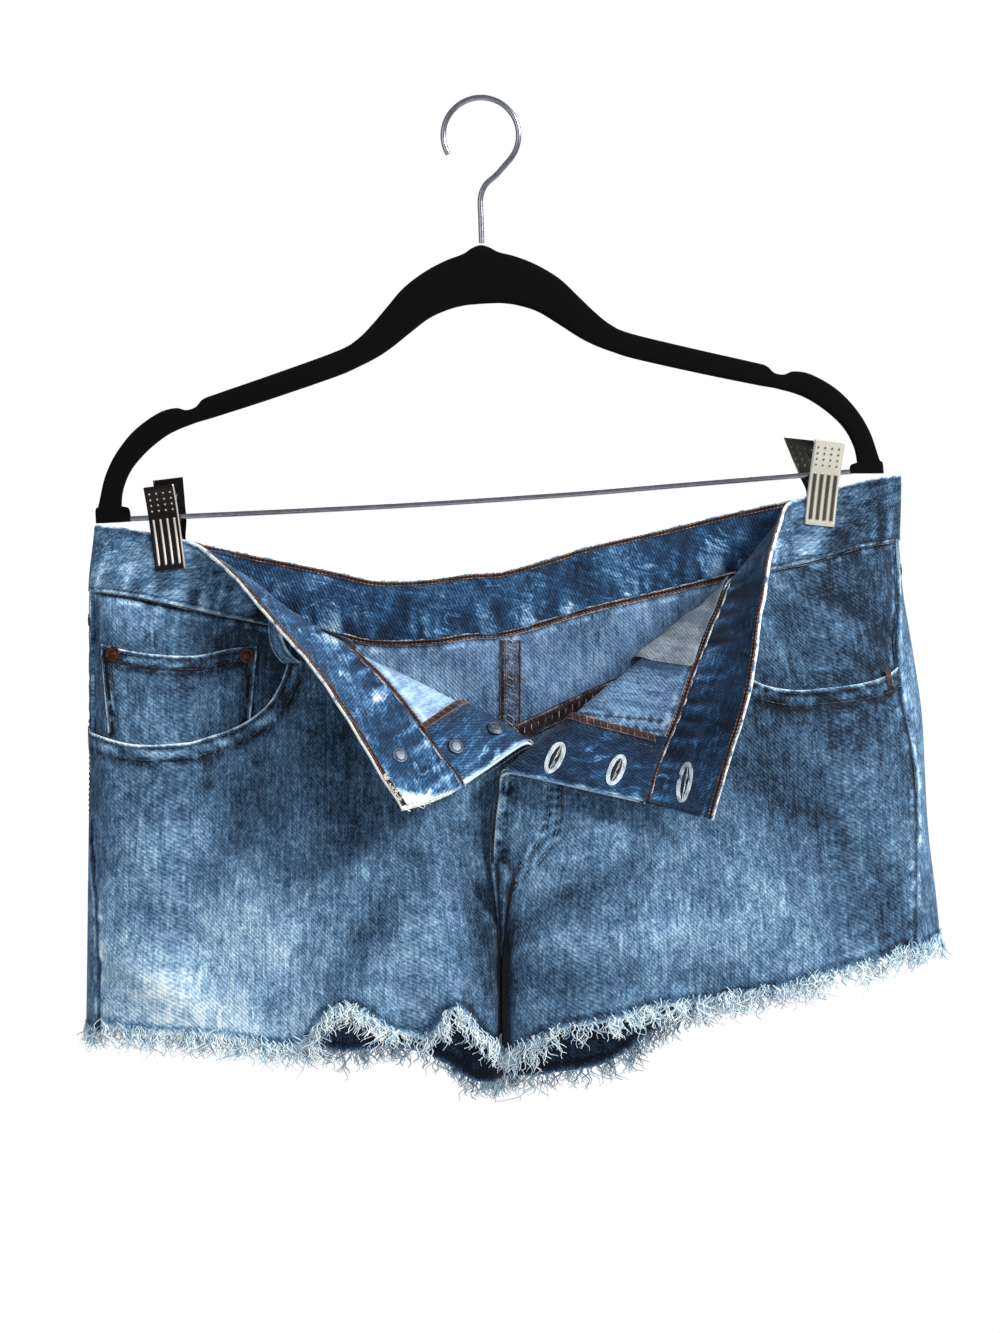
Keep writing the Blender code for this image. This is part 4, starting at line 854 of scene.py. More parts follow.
def tubes(routes, radii, reference, sides):
    """Points and faces of round threads: routes (n, k, 3), radii (n, k), reference (n, 3)."""
    count, rings = routes.shape[:2]
    ahead = unit(np.gradient(routes, axis=1))
    side = unit(np.cross(ahead, reference[:, None, :]))
    over = np.cross(side, ahead)
    turn = np.arange(sides) * 2 * pi / sides
    circle = side[:, :, None] * np.cos(turn)[:, None] + over[:, :, None] * np.sin(turn)[:, None]
    points = routes[:, :, None] + circle * radii[:, :, None, None]
    faces = (grid_faces(rings, sides)[None] + np.arange(count)[:, None, None] * rings * sides).reshape(-1, 4)
    return points.reshape(-1, 3), faces


def joined(parts):
    """One set of points and faces from several."""
    points = np.concatenate([part[0] for part in parts])
    offsets = np.cumsum([0] + [len(part[0]) for part in parts[:-1]])
    return points, np.concatenate([part[1] + start for part, start in zip(parts, offsets)])


def run_along(line):
    """How far along a line each of its points is."""
    return np.concatenate([[0], np.cumsum(np.hypot(*np.diff(np.asarray(line, float), axis=0).T))])


def along_line(line, at):
    xs, zs = np.asarray(line, float).T
    run = run_along(line)
    return np.interp(at, run, xs), np.interp(at, run, zs)


def length_of(line):
    return float(np.hypot(*np.diff(np.asarray(line, float), axis=0).T).sum())


def resampled(line, step):
    """Points about `step` apart along a line."""
    return np.stack(along_line(line, span(0, run_along(line)[-1], step)), -1)


def smooth_through(points, at):
    """A smooth curve through numbered points, read at numbers between them."""
    rows = [(i, *point) for i, point in enumerate(points)]
    return [read(rows, at, column + 1) for column in range(len(points[0]))]


def curved(line, step=2.0):
    """A smooth curve through points, about `step` apart."""
    run = run_along(line)
    rows = [(s, x, z) for s, (x, z) in zip(run, line)]
    at = span(0, run[-1], step)
    return np.stack([read(rows, at, 1), read(rows, at, 2)], -1)


def directions(line):
    """Directions along a line and to the left of it."""
    ahead = unit(np.gradient(np.asarray(line, float), axis=0))
    return ahead, np.stack([-ahead[:, 1], ahead[:, 0]], -1)


def offset_line(line, off):
    """A line moved sideways in the pattern, to the left of its direction for off > 0."""
    return np.asarray(line, float) + directions(line)[1] * off


def within(points, outline):
    """Which pattern points lie inside a closed outline."""
    hit = np.zeros(len(points), bool)
    x, z = points[:, 0], points[:, 1]
    for (ax, az), (bx, bz) in zip(outline, np.roll(outline, -1, axis=0)):
        if az != bz:
            crosses = ((az > z) != (bz > z)) & (x < ax + (z - az) / (bz - az) * (bx - ax))
            hit ^= crosses
    return hit


def lattice(low, high, step):
    rows = np.arange(low[1], high[1], step * 0.866)
    out = []
    for i, z in enumerate(rows):
        xs = np.arange(low[0] + (i % 2) * step / 2, high[0], step)
        out.append(np.stack([xs, np.full(len(xs), z)], -1))
    return np.concatenate(out)


def clear_of(points, others, gap):
    """Keeps the points that are at least `gap` from the others, by a coarse grid of cells."""
    cells = {}
    for q in others:
        cells.setdefault((int(q[0] // gap), int(q[1] // gap)), []).append(q)
    keep = []
    for q in points:
        i, j = int(q[0] // gap), int(q[1] // gap)
        near = (r for a in (i - 1, i, i + 1) for b in (j - 1, j, j + 1) for r in cells.get((a, b), ()))
        keep.append(all((q[0] - r[0]) ** 2 + (q[1] - r[1]) ** 2 >= gap * gap for r in near))
    return points[np.array(keep, bool)]


def pattern_mesh(outline, layer, half, step):
    """Flat points and triangles over an outline, finer by its edge and in the fold's roll."""
    outline = resampled(np.vstack([outline, outline[:1]]), EDGE_STEP)[:-1]
    closed = np.vstack([outline, outline[:1]])
    ahead = np.roll(outline, -1, axis=0) - np.roll(outline, 1, axis=0)
    side = unit(np.stack([-ahead[:, 1], ahead[:, 0]], -1))
    if not within(outline[:1] + side[:1] * 0.4, outline)[0]:
        side = -side
    kept = np.empty((0, 2))
    for row in EDGE_ROWS:
        ring = outline + side * row
        ring = ring[within(ring, outline)]
        ring = ring[near_line(ring[:, 0], ring[:, 1], closed)[0] > row * 0.9]
        kept = np.vstack([kept, clear_of(ring, kept, 0.7)])
    low, high = outline.min(0), outline.max(0)
    if layer == FRONT:
        fine = lattice(low, high, ROLL_STEP)
        over, radius, turn = fold_at(roll_x(fine[:, 0], fine[:, 1], half), fine[:, 1], half)
        fine = fine[(over > -2) & (over < radius * turn + 3) & (turn > 0.1)]
        fine = fine[within(fine, outline)] if len(fine) else fine
        if len(fine):
            fine = fine[near_line(fine[:, 0], fine[:, 1], closed)[0] > 0.8]
            fine = clear_of(fine, kept, 1.0)
            kept = np.vstack([kept, fine])
    coarse = lattice(low, high, step)
    coarse = coarse[within(coarse, outline)]
    coarse = coarse[near_line(coarse[:, 0], coarse[:, 1], closed)[0] > step * 0.5]
    kept = np.vstack([kept, clear_of(coarse, kept, step * 0.75)])
    points = [Vector(q) for q in np.vstack([outline, kept])]
    edges = [(i, (i + 1) % len(outline)) for i in range(len(outline))]
    flat, _, triangles, *_ = delaunay_2d_cdt(points, edges, [], 1, 1e-5)
    return np.array([(q.x, q.y) for q in flat]), np.array(triangles), closed


def cloth_piece(name, layer, half, outline, inner, outer, looks, lift, step=STEP, shade=0.0):
    """A sheet over a pattern outline, between two offsets, with a rim round its edge.

    lift(p, z) gives what hems and seams add outside and inside, and the tone; shade is how much
    paler the inside is than the outside, or a function of (p, z) for it: painted light on the left front's
    inside, painted shade on the backs' inside.
    """
    flat, triangles, closed = pattern_mesh(outline, layer, half, step)
    p, z = flat.T
    place, normal, _ = cloth(p, z, layer, half)
    add_out, add_in, tone = lift(p, z)
    shrink = 0.3 * bell(near_line(p, z, closed)[0], 0.5)
    high = place + normal * np.broadcast_to(outer + add_out - shrink, p.shape)[:, None]
    low = place + normal * np.broadcast_to(inner - add_in + shrink, p.shape)[:, None]
    total = len(flat)
    used = dict.fromkeys(edge for a, b, c in triangles for edge in ((a, b), (b, c), (c, a)))
    border = np.array([(a, b) for a, b in used if (b, a) not in used])
    a, b = border.T
    sides = np.concatenate([np.stack([b, a, a + total], -1), np.stack([b, a + total, b + total], -1)])
    faces = np.concatenate([triangles, triangles[:, ::-1] + total, sides])
    if layer == BACK:
        faces = faces[:, ::-1]
    slots = np.repeat([0, 1, 2], [len(triangles), len(triangles), len(sides)])
    a, b, c = (flat[triangles[:, k]] for k in range(3))
    inside_tone = tone + (shade(p, z) if callable(shade) else shade)
    piece = mesh_piece(name, np.vstack([high, low]), faces, looks, slots, np.vstack([flat, flat]),
                       np.concatenate([tone, inside_tone]))
    return stands_for(piece)


# ---- seam lines, in the pattern ------------------------------------------
def side_name(base, half):
    return base + ("_left" if half == LEFT else "_right")


def edge_at(points, z):
    """x of a falling line of (x, z) points at heights."""
    xs, zs = np.array(points, float).T
    return np.interp(-np.asarray(z, float), -zs, xs)


def to_pattern(points, half):
    x, z = np.array(points, float).T
    return np.stack([unroll(x, z, half), z], -1)


def end_p(layer, half):
    """Where a half's part of the waistband begins: centre front or centre back."""
    return FRONT_EDGE[half][0][0] if layer == FRONT else CREASE_X


def band_line(p, layer, half, share):
    """Pattern points of the waistband at p: share 0 is its top edge, 1 its lower edge."""
    p = np.asarray(p, float)
    top = waist_z(roll_x(p, WAIST_LEVEL, half), layer, half)
    z = top - BAND_HIGH * share
    if layer == BACK:
        return np.stack([p, z], -1)
    edge = FRONT_EDGE[half]
    lean = edge_at(edge, z) - edge_at(edge, top)
    return np.stack([p + lean * smoothstep(1 - np.abs(p - edge[0][0]) / LEAN_REACH), z], -1)


def band_row(layer, half, start, stop, share, above=0.0, step=2.0):
    """A line along the waistband, between two pattern columns."""
    line = band_line(span(start, stop, step), layer, half, share)
    line[:, 1] += above
    return line


def seam_p(z, half):
    """Pattern column of the side seam, on the front's pattern."""
    return unroll(seam_x(z, half), z, half)


def side_seam(half, start, stop, layer=FRONT):
    z = span(start, stop, 3.0)
    p = seam_p(z, half)
    return np.stack([p if layer == FRONT else 2 * EDGE_P[half] - p, z], -1)


def crease_p(half):
    return CREASE_X + half * (LEG_APART + EDGE_LIP)


def hem_line(layer, half, step=1.0):
    """A hem from the crease between the legs to the side seam."""
    z = float(hem_z(seam_x(HEM_LEVEL, half), layer, half))
    far = side_seam(half, z, z - 1, layer)[0, 0]
    p = span(crease_p(half), far, step)
    return np.stack([p, hem_z(roll_x(p, HEM_LEVEL, half), layer, half)], -1)


def back_centre(z, half):
    """Centre back seam, which runs from the yoke to the crease."""
    z = np.asarray(z, float)
    seam = BACK_SEAM_X + (CREASE_X - BACK_SEAM_X) * smoothstep((BACK_SEAM_BEND[0] - z) / BACK_SEAM_BEND[1])
    apart = SEAM_MEET + (LEG_APART + EDGE_LIP - SEAM_MEET) * smoothstep((RISE_TOP - z) / 90)
    return seam + half * apart


def yoke_low(p, half):
    """Height of the yoke's lower seam."""
    p = np.asarray(p, float)
    from_centre = np.minimum(np.abs(p - BACK_SEAM_X) / abs(EDGE_P[half] - BACK_SEAM_X), 1.0)
    return band_line(p, BACK, half, 1.0)[..., 1] - YOKE_CENTRE - (YOKE_SIDE - YOKE_CENTRE) * from_centre


def pocket_line(half):
    return curved(to_pattern(POCKET_EDGE[half], half))


def centre_line(half):
    """Centre front edge in the pattern, below the waistband."""
    line = curved(FRONT_EDGE[half])
    top = band_line(FRONT_EDGE[half][0][0], FRONT, half, 1.0)[1]
    return line[line[:, 1] < top - 1]


# ---- how hems and seams lift and wear the cloth; wash, painted light and shade ---
def wash_and_painted_light(p, z, layer, half):
    """Tone of the wash over a panel, with painted light and shade: 0.5 is plain, more is paler."""
    out = 0.5 + 0.05 * cloud(p / 30, z / 40, 31 + layer) + 0.03 * cloud(p / 9, z / 14, 37 + half)
    for cp, cz, wide, high, amount in WASH_AND_PAINTED_LIGHT[half, layer]:
        out = out + amount * np.exp(-((p - cp) / wide) ** 2 - ((z - cz) / high) ** 2)
    # ridges paler and troughs darker: partly wear, partly painted shade in the creases
    out = out + 0.03 * np.clip(relief(p, z, layer, half), -4.0, 4.0)
    if layer == FRONT:
        # painted shade in the crease between the legs: a sharp dark band along it and a wider, softer one
        off = p - CREASE_X
        below = smoothstep((CREASE_SHADE[0] - z) / CREASE_SHADE[1])
        out = out - 0.8 * bell(off, CREASE_PAINTED_SHADE[half], 4) * below
        out = out - 0.18 * bell(off, 16.0) * smoothstep((-452.0 - z) / 40)
    return out


def back_painted_shade(p, z):
    """Painted shade: the backs' inside gets darker towards the crotch and the hem."""
    return 0.02 - 0.48 * smoothstep((-462.0 - z) / 40) * bell(p - CREASE_X, 120)


def turned(off, along, wide, seed, high=0.5):
    """A turned and stitched edge: what it adds to the thickness, and its wear."""
    rope = cloud((along + off * 0.7) / ROPE, off / 6, seed)
    ticks = cloud((along + off * 0.5) / 1.6, off / 3, seed + 2)
    on = smoothstep((wide + 1.0 - off) / 1.8)
    ridge = high * on * (1 + 0.5 * rope)
    wear = 0.5 * bell(off, 1.0) + 0.2 * rope * on
    for groove in (2.3, wide - 1.4):
        near = bell(off - groove, 0.8)
        ridge = ridge - 0.3 * near * (1 + 0.6 * ticks)
        wear = wear - 0.42 * near * (1 + 1.3 * ticks)
        wear = wear + 0.2 * bell(off - groove - 1.5, 0.8) * (0.4 + ticks)
    pull = 0.35 * cloud(along / 4.6, 3.0, seed + 1) * bell(off - wide, 4.0)
    return ridge + pull, wear - 0.22 * bell(off - wide - 0.9, 1.3)


def seamed(off, along, seed, dark=0.3):
    """The cloth beside a plain seam: puckers, a worn ridge and a dark line."""
    rope = cloud(along / 4.2, off / 9, seed)
    near = bell(off, 5.0)
    wear = 0.26 * bell(off - 2.8, 1.2) * (0.5 + rope) - dark * bell(off, 1.0)
    return 0.3 * rope * near, wear + 0.1 * rope * near


def sewn_row(off, along, seed):
    """Wear along a row of stitches: a dark, uneven groove with a pale lip."""
    ticks = cloud(along / 1.7, 0.5, seed)
    return 0.2 * bell(off - 1.5, 0.8) - 0.4 * bell(off, 0.8) * (1 + 0.8 * ticks)


def front_lift(half):
    pocket, centre, seam = pocket_line(half), centre_line(half), side_seam(half, -330, -540)
    waist = band_row(FRONT, half, pocket[0][0], end_p(FRONT, half), 1.0, step=4.0)
    hem = hem_line(FRONT, half, 4.0)

    def lift(p, z):
        tone = wash_and_painted_light(p, z, FRONT, half)
        high, wear = turned(*near_line(p, z, pocket), 10.0, 51 + half)
        out, tone = high, tone + wear
        high, wear = turned(*near_line(p, z, centre), 7.0, 61 + half, 0.3)
        # a pale strip 2.6 mm in from the centre front edge: partly wear, partly a painted highlight on the
        # thick turned edge
        out, tone = out + high, tone + wear * 0.8 + 0.2 * bell(near_line(p, z, centre)[0] - 2.6, 1.8)
        high, wear = seamed(*near_line(p, z, seam), 71 + half)
        out, tone = out + high, tone + wear
        # beside the waistband the dark line is partly a dark joint, partly painted shadow under the band's
        # edge
        high, wear = seamed(*near_line(p, z, waist), 81 + half, 0.2)
        out, tone = out + high, tone + wear
        for i, line in enumerate(FLY_ROWS if half == RIGHT else ()):
            off, along = near_line(p, z, curved(line))
            out, tone = out - 0.3 * bell(off, 0.9), tone + sewn_row(off, along, 91 + i)
        off, _ = near_line(p, z, hem)
        # the raw hem is pale; the dark line 4.5 mm above it is painted shadow
        tone = tone + 0.45 * bell(off, 1.8) - 0.25 * bell(off - 4.5, 1.8)
        return out - 0.25 * bell(off, 1.0), 0.2 * cloud(p / 7, z / 7, 5), tone
    return lift


def plain_lift(layer, half, edges=(), seams=(), hem=None, base=0.0):
    """The same for other pieces: turned edges, plain seams and a raw hem."""
    def lift(p, z):
        tone, out = wash_and_painted_light(p, z, layer, half) + base, 0.0
        for i, (line, wide) in enumerate(edges):
            high, wear = turned(*near_line(p, z, line), wide, 101 + 7 * i + half)
            out, tone = out + high, tone + wear
        for i, line in enumerate(seams):
            high, wear = seamed(*near_line(p, z, line), 131 + 7 * i + half)
            out, tone = out + high, tone + wear
        if hem is not None:
            off, _ = near_line(p, z, hem)
            out = out - 0.25 * bell(off, 1.0)
            # the raw hem is pale; the dark line 4.5 mm above it is painted shadow
            tone = tone + 0.4 * bell(off, 1.6) - 0.2 * bell(off - 4.5, 1.6)
        return out, 0.0, tone
    return lift


# ---- the cloth pieces ----------------------------------------------------
def make_front(half, looks):
    pocket, hem = pocket_line(half), hem_line(FRONT, half)
    top = band_row(FRONT, half, pocket[0][0], end_p(FRONT, half), 1.0, TUCK)
    centre = centre_line(half)
    crease = [(crease_p(half), z) for z in span(centre[-1][1], hem[0][1], 3.0)][1:-1]
    side = side_seam(half, hem[-1][1], pocket[-1][1])[1:-1]
    side[:, 0] -= half * SEAM_MEET
    outline = np.vstack([top, centre, crease, hem, side, pocket[:0:-1]])
    # the left front's inside, turned out on its flap, is painted paler as light falling on the flap; the
    # right's is a touch darker
    return cloth_piece(side_name("denim_front", half), FRONT, half, outline, -DENIM / 2, DENIM / 2, looks,
                       front_lift(half), shade=0.2 if half == LEFT else -0.04)


def make_pocket_facing(half, looks):
    pocket = pocket_line(half)
    low = pocket[1:-1] + np.array([-half, -1.0]) * FACING_BELOW * 0.7
    side_top = band_line(EDGE_P[half], FRONT, half, 1.0)[1] + TUCK
    side = side_seam(half, pocket[-1][1] - FACING_BELOW, side_top)
    side[:, 0] -= half * SEAM_MEET
    top = band_row(FRONT, half, side[-1][0], low[0][0], 1.0, TUCK)
    outer = -DENIM / 2 - LAYER_GAP - (FACING + LAYER_GAP if half == LEFT else 0)
    seams = (side, band_row(FRONT, half, side[-1][0], low[0][0], 1.0))
    return cloth_piece(side_name("denim_pocket_facing", half), FRONT, half,
                       np.vstack([top[:-1], low, side[:-1]]), outer - DENIM, outer, looks,
                       plain_lift(FRONT, half, seams=seams, base=-0.1))


def make_coin_pocket(looks):
    outer = -DENIM / 2 - LAYER_GAP
    line = to_pattern(COIN_POCKET, LEFT)
    top, rest = curved(line[:5]), curved(line[4:])
    edges = ((top, 9.0), (resampled([line[0], line[-1]], 3.0), 5.0), (resampled(line[4:7], 3.0), 5.0))
    return cloth_piece("denim_coin_pocket", FRONT, LEFT, np.vstack([top, rest[1:]]), outer - FACING, outer,
                       looks, plain_lift(FRONT, LEFT, edges=edges, base=-0.06), step=2.0)


def facing_rim(half, inset=0.0):
    """Free edge of a fly facing, on a front's inside."""
    edge = FRONT_EDGE[half]
    top = band_line(edge[0][0], FRONT, half, 1.0)[1] + TUCK
    z = span(top, FLY_LOW[half], 2.0)
    return np.stack([edge_at(edge, z) + half * (FLY_WIDE[half] - inset), z], -1)


def make_fly_facing(half, looks):
    edge = FRONT_EDGE[half]
    far = facing_rim(half)
    near = far.copy()
    near[:, 0] = edge_at(edge, near[:, 1]) + half * FLY_RIM
    top = band_row(FRONT, half, far[0][0], near[0][0], 1.0, TUCK)
    outer = -DENIM / 2 - LAYER_GAP
    name = "button_stand" if half == LEFT else "buttonhole_fly"

    def lift(p, z):
        off, along = near_line(p, z, near)
        rope = cloud(along / 6, off / 10, 201 + half)
        wear = 0.45 * bell(off, 1.2) + 0.2 * rope * bell(off, 9.0)
        plain = 0.44 if half == LEFT else 0.36
        return 0.0, 0.3 * rope * bell(off, 8.0) + 0.3 * cloud(p / 5, z / 9, 203), plain + wear

    return cloth_piece("denim_" + name, FRONT, half, np.vstack([top, near[1:], far[:0:-1]]),
                       outer - FACING, outer, looks, lift, step=2.0)


def make_pocket_bag(half, looks):
    inner_p, outer_p, low_z = BAG_EDGE[half], BAG_OUT[half], BAG_LOW[half]
    top = band_row(FRONT, half, outer_p, inner_p, 1.0, TUCK)
    foot = [(inner_p, low_z), ((inner_p + outer_p) / 2, low_z - 4), (outer_p, low_z - 6)]
    outer = -DENIM / 2 - 3 * LAYER_GAP - DENIM

    def lift(p, z):
        rumple = 0.5 * cloud(p / 7, z / 11, 207 + half)
        return rumple, -rumple, 0.5 + 0.12 * cloud(p / 11, z / 8, 209)

    return cloth_piece(side_name("cotton_pocket_bag", half), FRONT, half, np.vstack([top, foot]),
                       outer - FACING * 0.6, outer, looks, lift)


def make_yoke(half, looks):
    centre = BACK_SEAM_X + half * SEAM_MEET
    top = band_row(BACK, half, centre, EDGE_P[half], 1.0, TUCK)
    side_top, side_low = top[-1][1], float(yoke_low(EDGE_P[half], half))
    seam = side_seam(half, side_top, side_low, BACK)
    wrapped = [(p, side_top) for p in span(EDGE_P[half], seam[0][0], 2.0)[1:-1]]
    p = span(EDGE_P[half], centre, 2.0)
    low = np.stack([p, yoke_low(p, half) + SEAM_MEET], -1)
    lift = plain_lift(BACK, half, seams=(low, top - [0, TUCK], [(centre, -200), (centre, -400)]))
    return cloth_piece(side_name("denim_yoke", half), BACK, half, np.vstack([top, wrapped, seam, low[:-1]]),
                       -DENIM / 2, DENIM / 2, looks, lift)


def make_back(half, looks):
    low_p = span(BACK_SEAM_X, EDGE_P[half], 2.0)
    top = np.stack([low_p, yoke_low(low_p, half) - SEAM_MEET], -1)[1:]
    hem = hem_line(BACK, half)[::-1]
    side = side_seam(half, top[-1][1], hem[0][1], BACK)
    rise_z = span(hem[-1][1], float(yoke_low(BACK_SEAM_X, half)) - SEAM_MEET, 3.0)
    rise = np.stack([back_centre(rise_z, half), rise_z], -1)[1:]
    lift = plain_lift(BACK, half, seams=(top, rise, side), hem=hem)
    return cloth_piece(side_name("denim_back", half), BACK, half, np.vstack([rise, top, side[:-1], hem]),
                       -DENIM / 2, DENIM / 2, looks, lift, shade=back_painted_shade)


def patch_corners(half, inset=0.0):
    """Corners of a back pocket, from its top left round by its point."""
    x, top, wide = PATCH_X[half], PATCH_TOP[half], PATCH_WIDE / 2 - inset
    shoulder = top - PATCH_HIGH + PATCH_POINT
    return np.array([(x - wide, top), (x - wide + PATCH_TAPER, shoulder + inset * 0.4),
                     (x, top - PATCH_HIGH + inset), (x + wide - PATCH_TAPER, shoulder + inset * 0.4),
                     (x + wide, top)])


def make_patch_pocket(half, looks):
    corners = patch_corners(half)
    inner = DENIM / 2 + LAYER_GAP
    edges = ((corners, 5.0), (corners[[0, -1]], 12.0))
    return cloth_piece(side_name("denim_back_pocket", half), BACK, half, corners, inner - LAYER_GAP + 0.05,
                       inner + PATCH_THICK, looks, plain_lift(BACK, half, edges=edges))


def band_puff(p, share, side, seed):
    """How far the waistband's outside (side 1) or inside (-1) stands out, and its wear."""
    rope = cloud(p / 3.6 + share * 1.5, share * 1.4, seed)
    fine = cloud(p / 1.8 - share * 2, share * 5, seed + 1)
    low = smoothstep((share - 0.35) / 0.5)
    pull = (0.4 * rope * low + 0.12 * fine * low) * (1.0 if side < 0 else 0.6)
    swell = 0.35 * np.sin(np.clip(share, 0, 1) * pi) + 0.3 * cloud(p / 21, share * 2, seed + 2)
    edge = np.minimum(share, 1 - share) * BAND_HIGH
    wear = 0.2 * rope * low + 0.06 * fine + 0.1 * cloud(p / 9, share * 3, seed + 3)
    for groove in (BAND_TOP_STITCH, BAND_LOW_STITCH):
        near = bell(share - groove, 0.024)
        swell = swell - 0.3 * near
        wear = wear - 0.26 * near * (1 + fine)
    # the top edge, which is the flaps' folded edge, comes out paler than the lower: partly wear, partly a
    # painted highlight
    rim = np.where(share > 0.5, 0.16, 0.42) if side > 0 else np.where(share > 0.5, 0.2, 0.5)
    wear = wear + rim * bell(edge, 1.1) * (1 + 0.5 * fine)
    return swell * smoothstep(edge / 3) + pull * smoothstep(edge / 2), wear


def frayed_corner(p, share):
    """The pale, worn corner at the end of the left flap."""
    end, top = end_p(FRONT, LEFT) - p, share * BAND_HIGH
    ragged = 1 + 0.7 * cloud(p / 3, top / 3, 331)
    bare = bell(end, 5.5 * ragged) * bell(top, 30)
    return 0.8 * bare + 0.6 * bell(top, 3.5 * ragged) * bell(end, 50)


def make_waistband(looks):
    """One long strip, from one flap's end round the body to the other's."""
    columns = []
    for half in (LEFT, RIGHT):
        front = [(FRONT, half, p) for p in span(end_p(FRONT, half), EDGE_P[half], BAND_STEP)]
        back = [(BACK, half, p) for p in span(end_p(BACK, half), EDGE_P[half], BAND_STEP)]
        run = front[:-1] + back[::-1]
        columns += run if half == LEFT else run[-2::-1]
    shares = np.concatenate([[0.0], np.cumsum(BAND_PROFILE) / sum(BAND_PROFILE)])
    shares = np.concatenate([shares[:-1], [1.0]])
    count, rows = len(columns), len(shares)
    outer, inner = np.zeros((count, rows, 3)), np.zeros((count, rows, 3))
    uv, tone = np.zeros((count, rows, 2)), np.zeros((2, count, rows))
    for layer in (FRONT, BACK):
        for half in (LEFT, RIGHT):
            pick = [i for i, c in enumerate(columns) if c[:2] == (layer, half)]
            p = np.array([columns[i][2] for i in pick])[:, None]
            line = band_line(np.broadcast_to(p, (len(pick), rows)), layer, half, shares[None, :])
            place, normal, _ = cloth(line[..., 0], line[..., 1], layer, half)
            ends = np.minimum(shares, 1 - shares) * BAND_HIGH
            crown = BAND_THICK / 2 * np.sqrt(np.clip(1 - (1 - np.clip(ends / 1.4, 0, 1)) ** 2, 0.02, 1))
            end = smoothstep(np.abs(p - end_p(FRONT, half)) / 1.6) if layer == FRONT else 1.0
            for side, store in ((1, outer), (-1, inner)):
                puff, wear = band_puff(p * (1 if layer == FRONT else -1), shares[None, :], side, 301 + layer)
                thick = (crown + puff) * (0.35 + 0.65 * end)
                store[pick] = place + side * normal * thick[..., None]
                if (layer, half, side) == (FRONT, LEFT, -1):
                    wear = wear + frayed_corner(p, shares[None, :])
                # on the outside: wash with painted light and shade
                base_tone = wash_and_painted_light(line[..., 0], line[..., 1], layer, half) if side > 0 else 0.5
                if (layer, half, side) == (FRONT, RIGHT, -1):
                    wear = wear - 0.1
                tone[0 if side > 0 else 1, pick] = base_tone + wear + 0.3 * (1 - end)
            uv[pick] = line * [1 if layer == FRONT else -1, 1]
    points = np.concatenate([outer, inner[:, ::-1]], 1)
    uvs = np.concatenate([uv, uv[:, ::-1]], 1)
    tones = np.concatenate([tone[0], tone[1][:, ::-1]], 1)
    ring = 2 * rows
    slot = np.repeat([0, 2, 1, 2], [rows - 1, 1, rows - 1, 1])
    caps = end_caps(count, ring)
    caps[rows - 1:] = caps[rows - 1:, ::-1].copy()
    faces = np.concatenate([grid_faces(count, ring, turned_over=True), caps])
    slots = np.concatenate([np.tile(slot, count - 1), np.full(len(caps), 2)])
    piece = stands_for(mesh_piece("denim_waistband", points, faces, looks, slots, uvs, tones))
    return piece


# ---- sewing --------------------------------------------------------------
SEWN, RIBBONS = {}, {}      # threads by colour, and strips of cloth by look


def sewn(thread, *parts):
    SEWN.setdefault(thread, []).append(tubes(*parts))


def on_cloth(p, z, layer, half):
    """Cloth places where half may be None, for lines that cross the centre."""
    if half is not None:
        return cloth(p, z, layer, half)
    left, right = (cloth(p, z, layer, one) for one in (LEFT, RIGHT))
    on_left = (p < CREASE_X + (back_centre(z, RIGHT) - CREASE_X if layer == BACK else 0))[..., None]
    return tuple(np.where(on_left, a, b) for a, b in zip(left, right))


def stitch(thread, line, layer, half, side, height, pitch=3.0, radius=0.26):
    """A row of stitches along a pattern line, on the outside (side 1) or inside (-1)."""
    centres = np.arange(pitch / 2, length_of(line), pitch)
    if not len(centres):
        return
    share = np.linspace(-0.5, 0.5, 5)
    at = centres[:, None] + share * pitch * 0.84
    p, z = along_line(line, at)
    wobble = 0.12 * cloud(at / 5, 0.5, 401)
    place, normal, across = on_cloth(p, z, layer, half)
    up = height + 0.3 * np.cos(share * pi) - 0.16
    routes = place + normal * (side * up)[None, :, None] + across * wobble[..., None]
    radii = np.broadcast_to(radius * (0.55 + 0.45 * np.cos(share * pi) ** 0.5), at.shape)
    sewn(thread, routes, radii, normal[:, 2], 4)


def loose(thread, line, layer, half, side, height, radius, seed):
    """One continuous, slightly wandering thread along a pattern line."""
    line = curved(line, THREAD_STEP)
    along = np.arange(len(line)) * THREAD_STEP
    place, normal, across = on_cloth(line[:, 0], line[:, 1], layer, half)
    route = place + normal * (side * (height + 0.25 * cloud(along / 2.3, 0.5, seed)))[:, None]
    route = route + across * (0.3 * cloud(along / 1.9, 4.5, seed))[:, None]
    sewn(thread, route[None], np.full((1, len(route)), radius), normal[:1], 5)


def zigzag(thread, line, layer, half, side, height, wide, pitch, radius, slant=0.5):
    """Threads laid close together across a line, as in an overlocked edge or a bar tack."""
    at = np.arange(0, length_of(line), pitch)
    share = np.linspace(-0.5, 0.5, 4)
    p0, z0 = along_line(line, at)
    p1, z1 = along_line(line, at + 0.5)
    ahead = unit(np.stack([p1 - p0, z1 - z0], -1) + 1e-6)
    aside = np.stack([-ahead[:, 1], ahead[:, 0]], -1)
    spread = wide * (1 + 0.12 * cloud(at / 1.1, 0.5, 411))
    flat = np.stack([p0, z0], -1)[:, None] + aside[:, None] * (share[:, None] * spread[:, None, None])
    flat = flat + ahead[:, None] * (share[:, None] * slant * wide * 0.3)
    place, normal, _ = on_cloth(flat[..., 0], flat[..., 1], layer, half)
    up = height + 0.25 * np.cos(share * pi)
    routes = place + normal * (side * up)[None, :, None]
    sewn(thread, routes, np.full(routes.shape[:2], radius), normal[:, 1], 4)


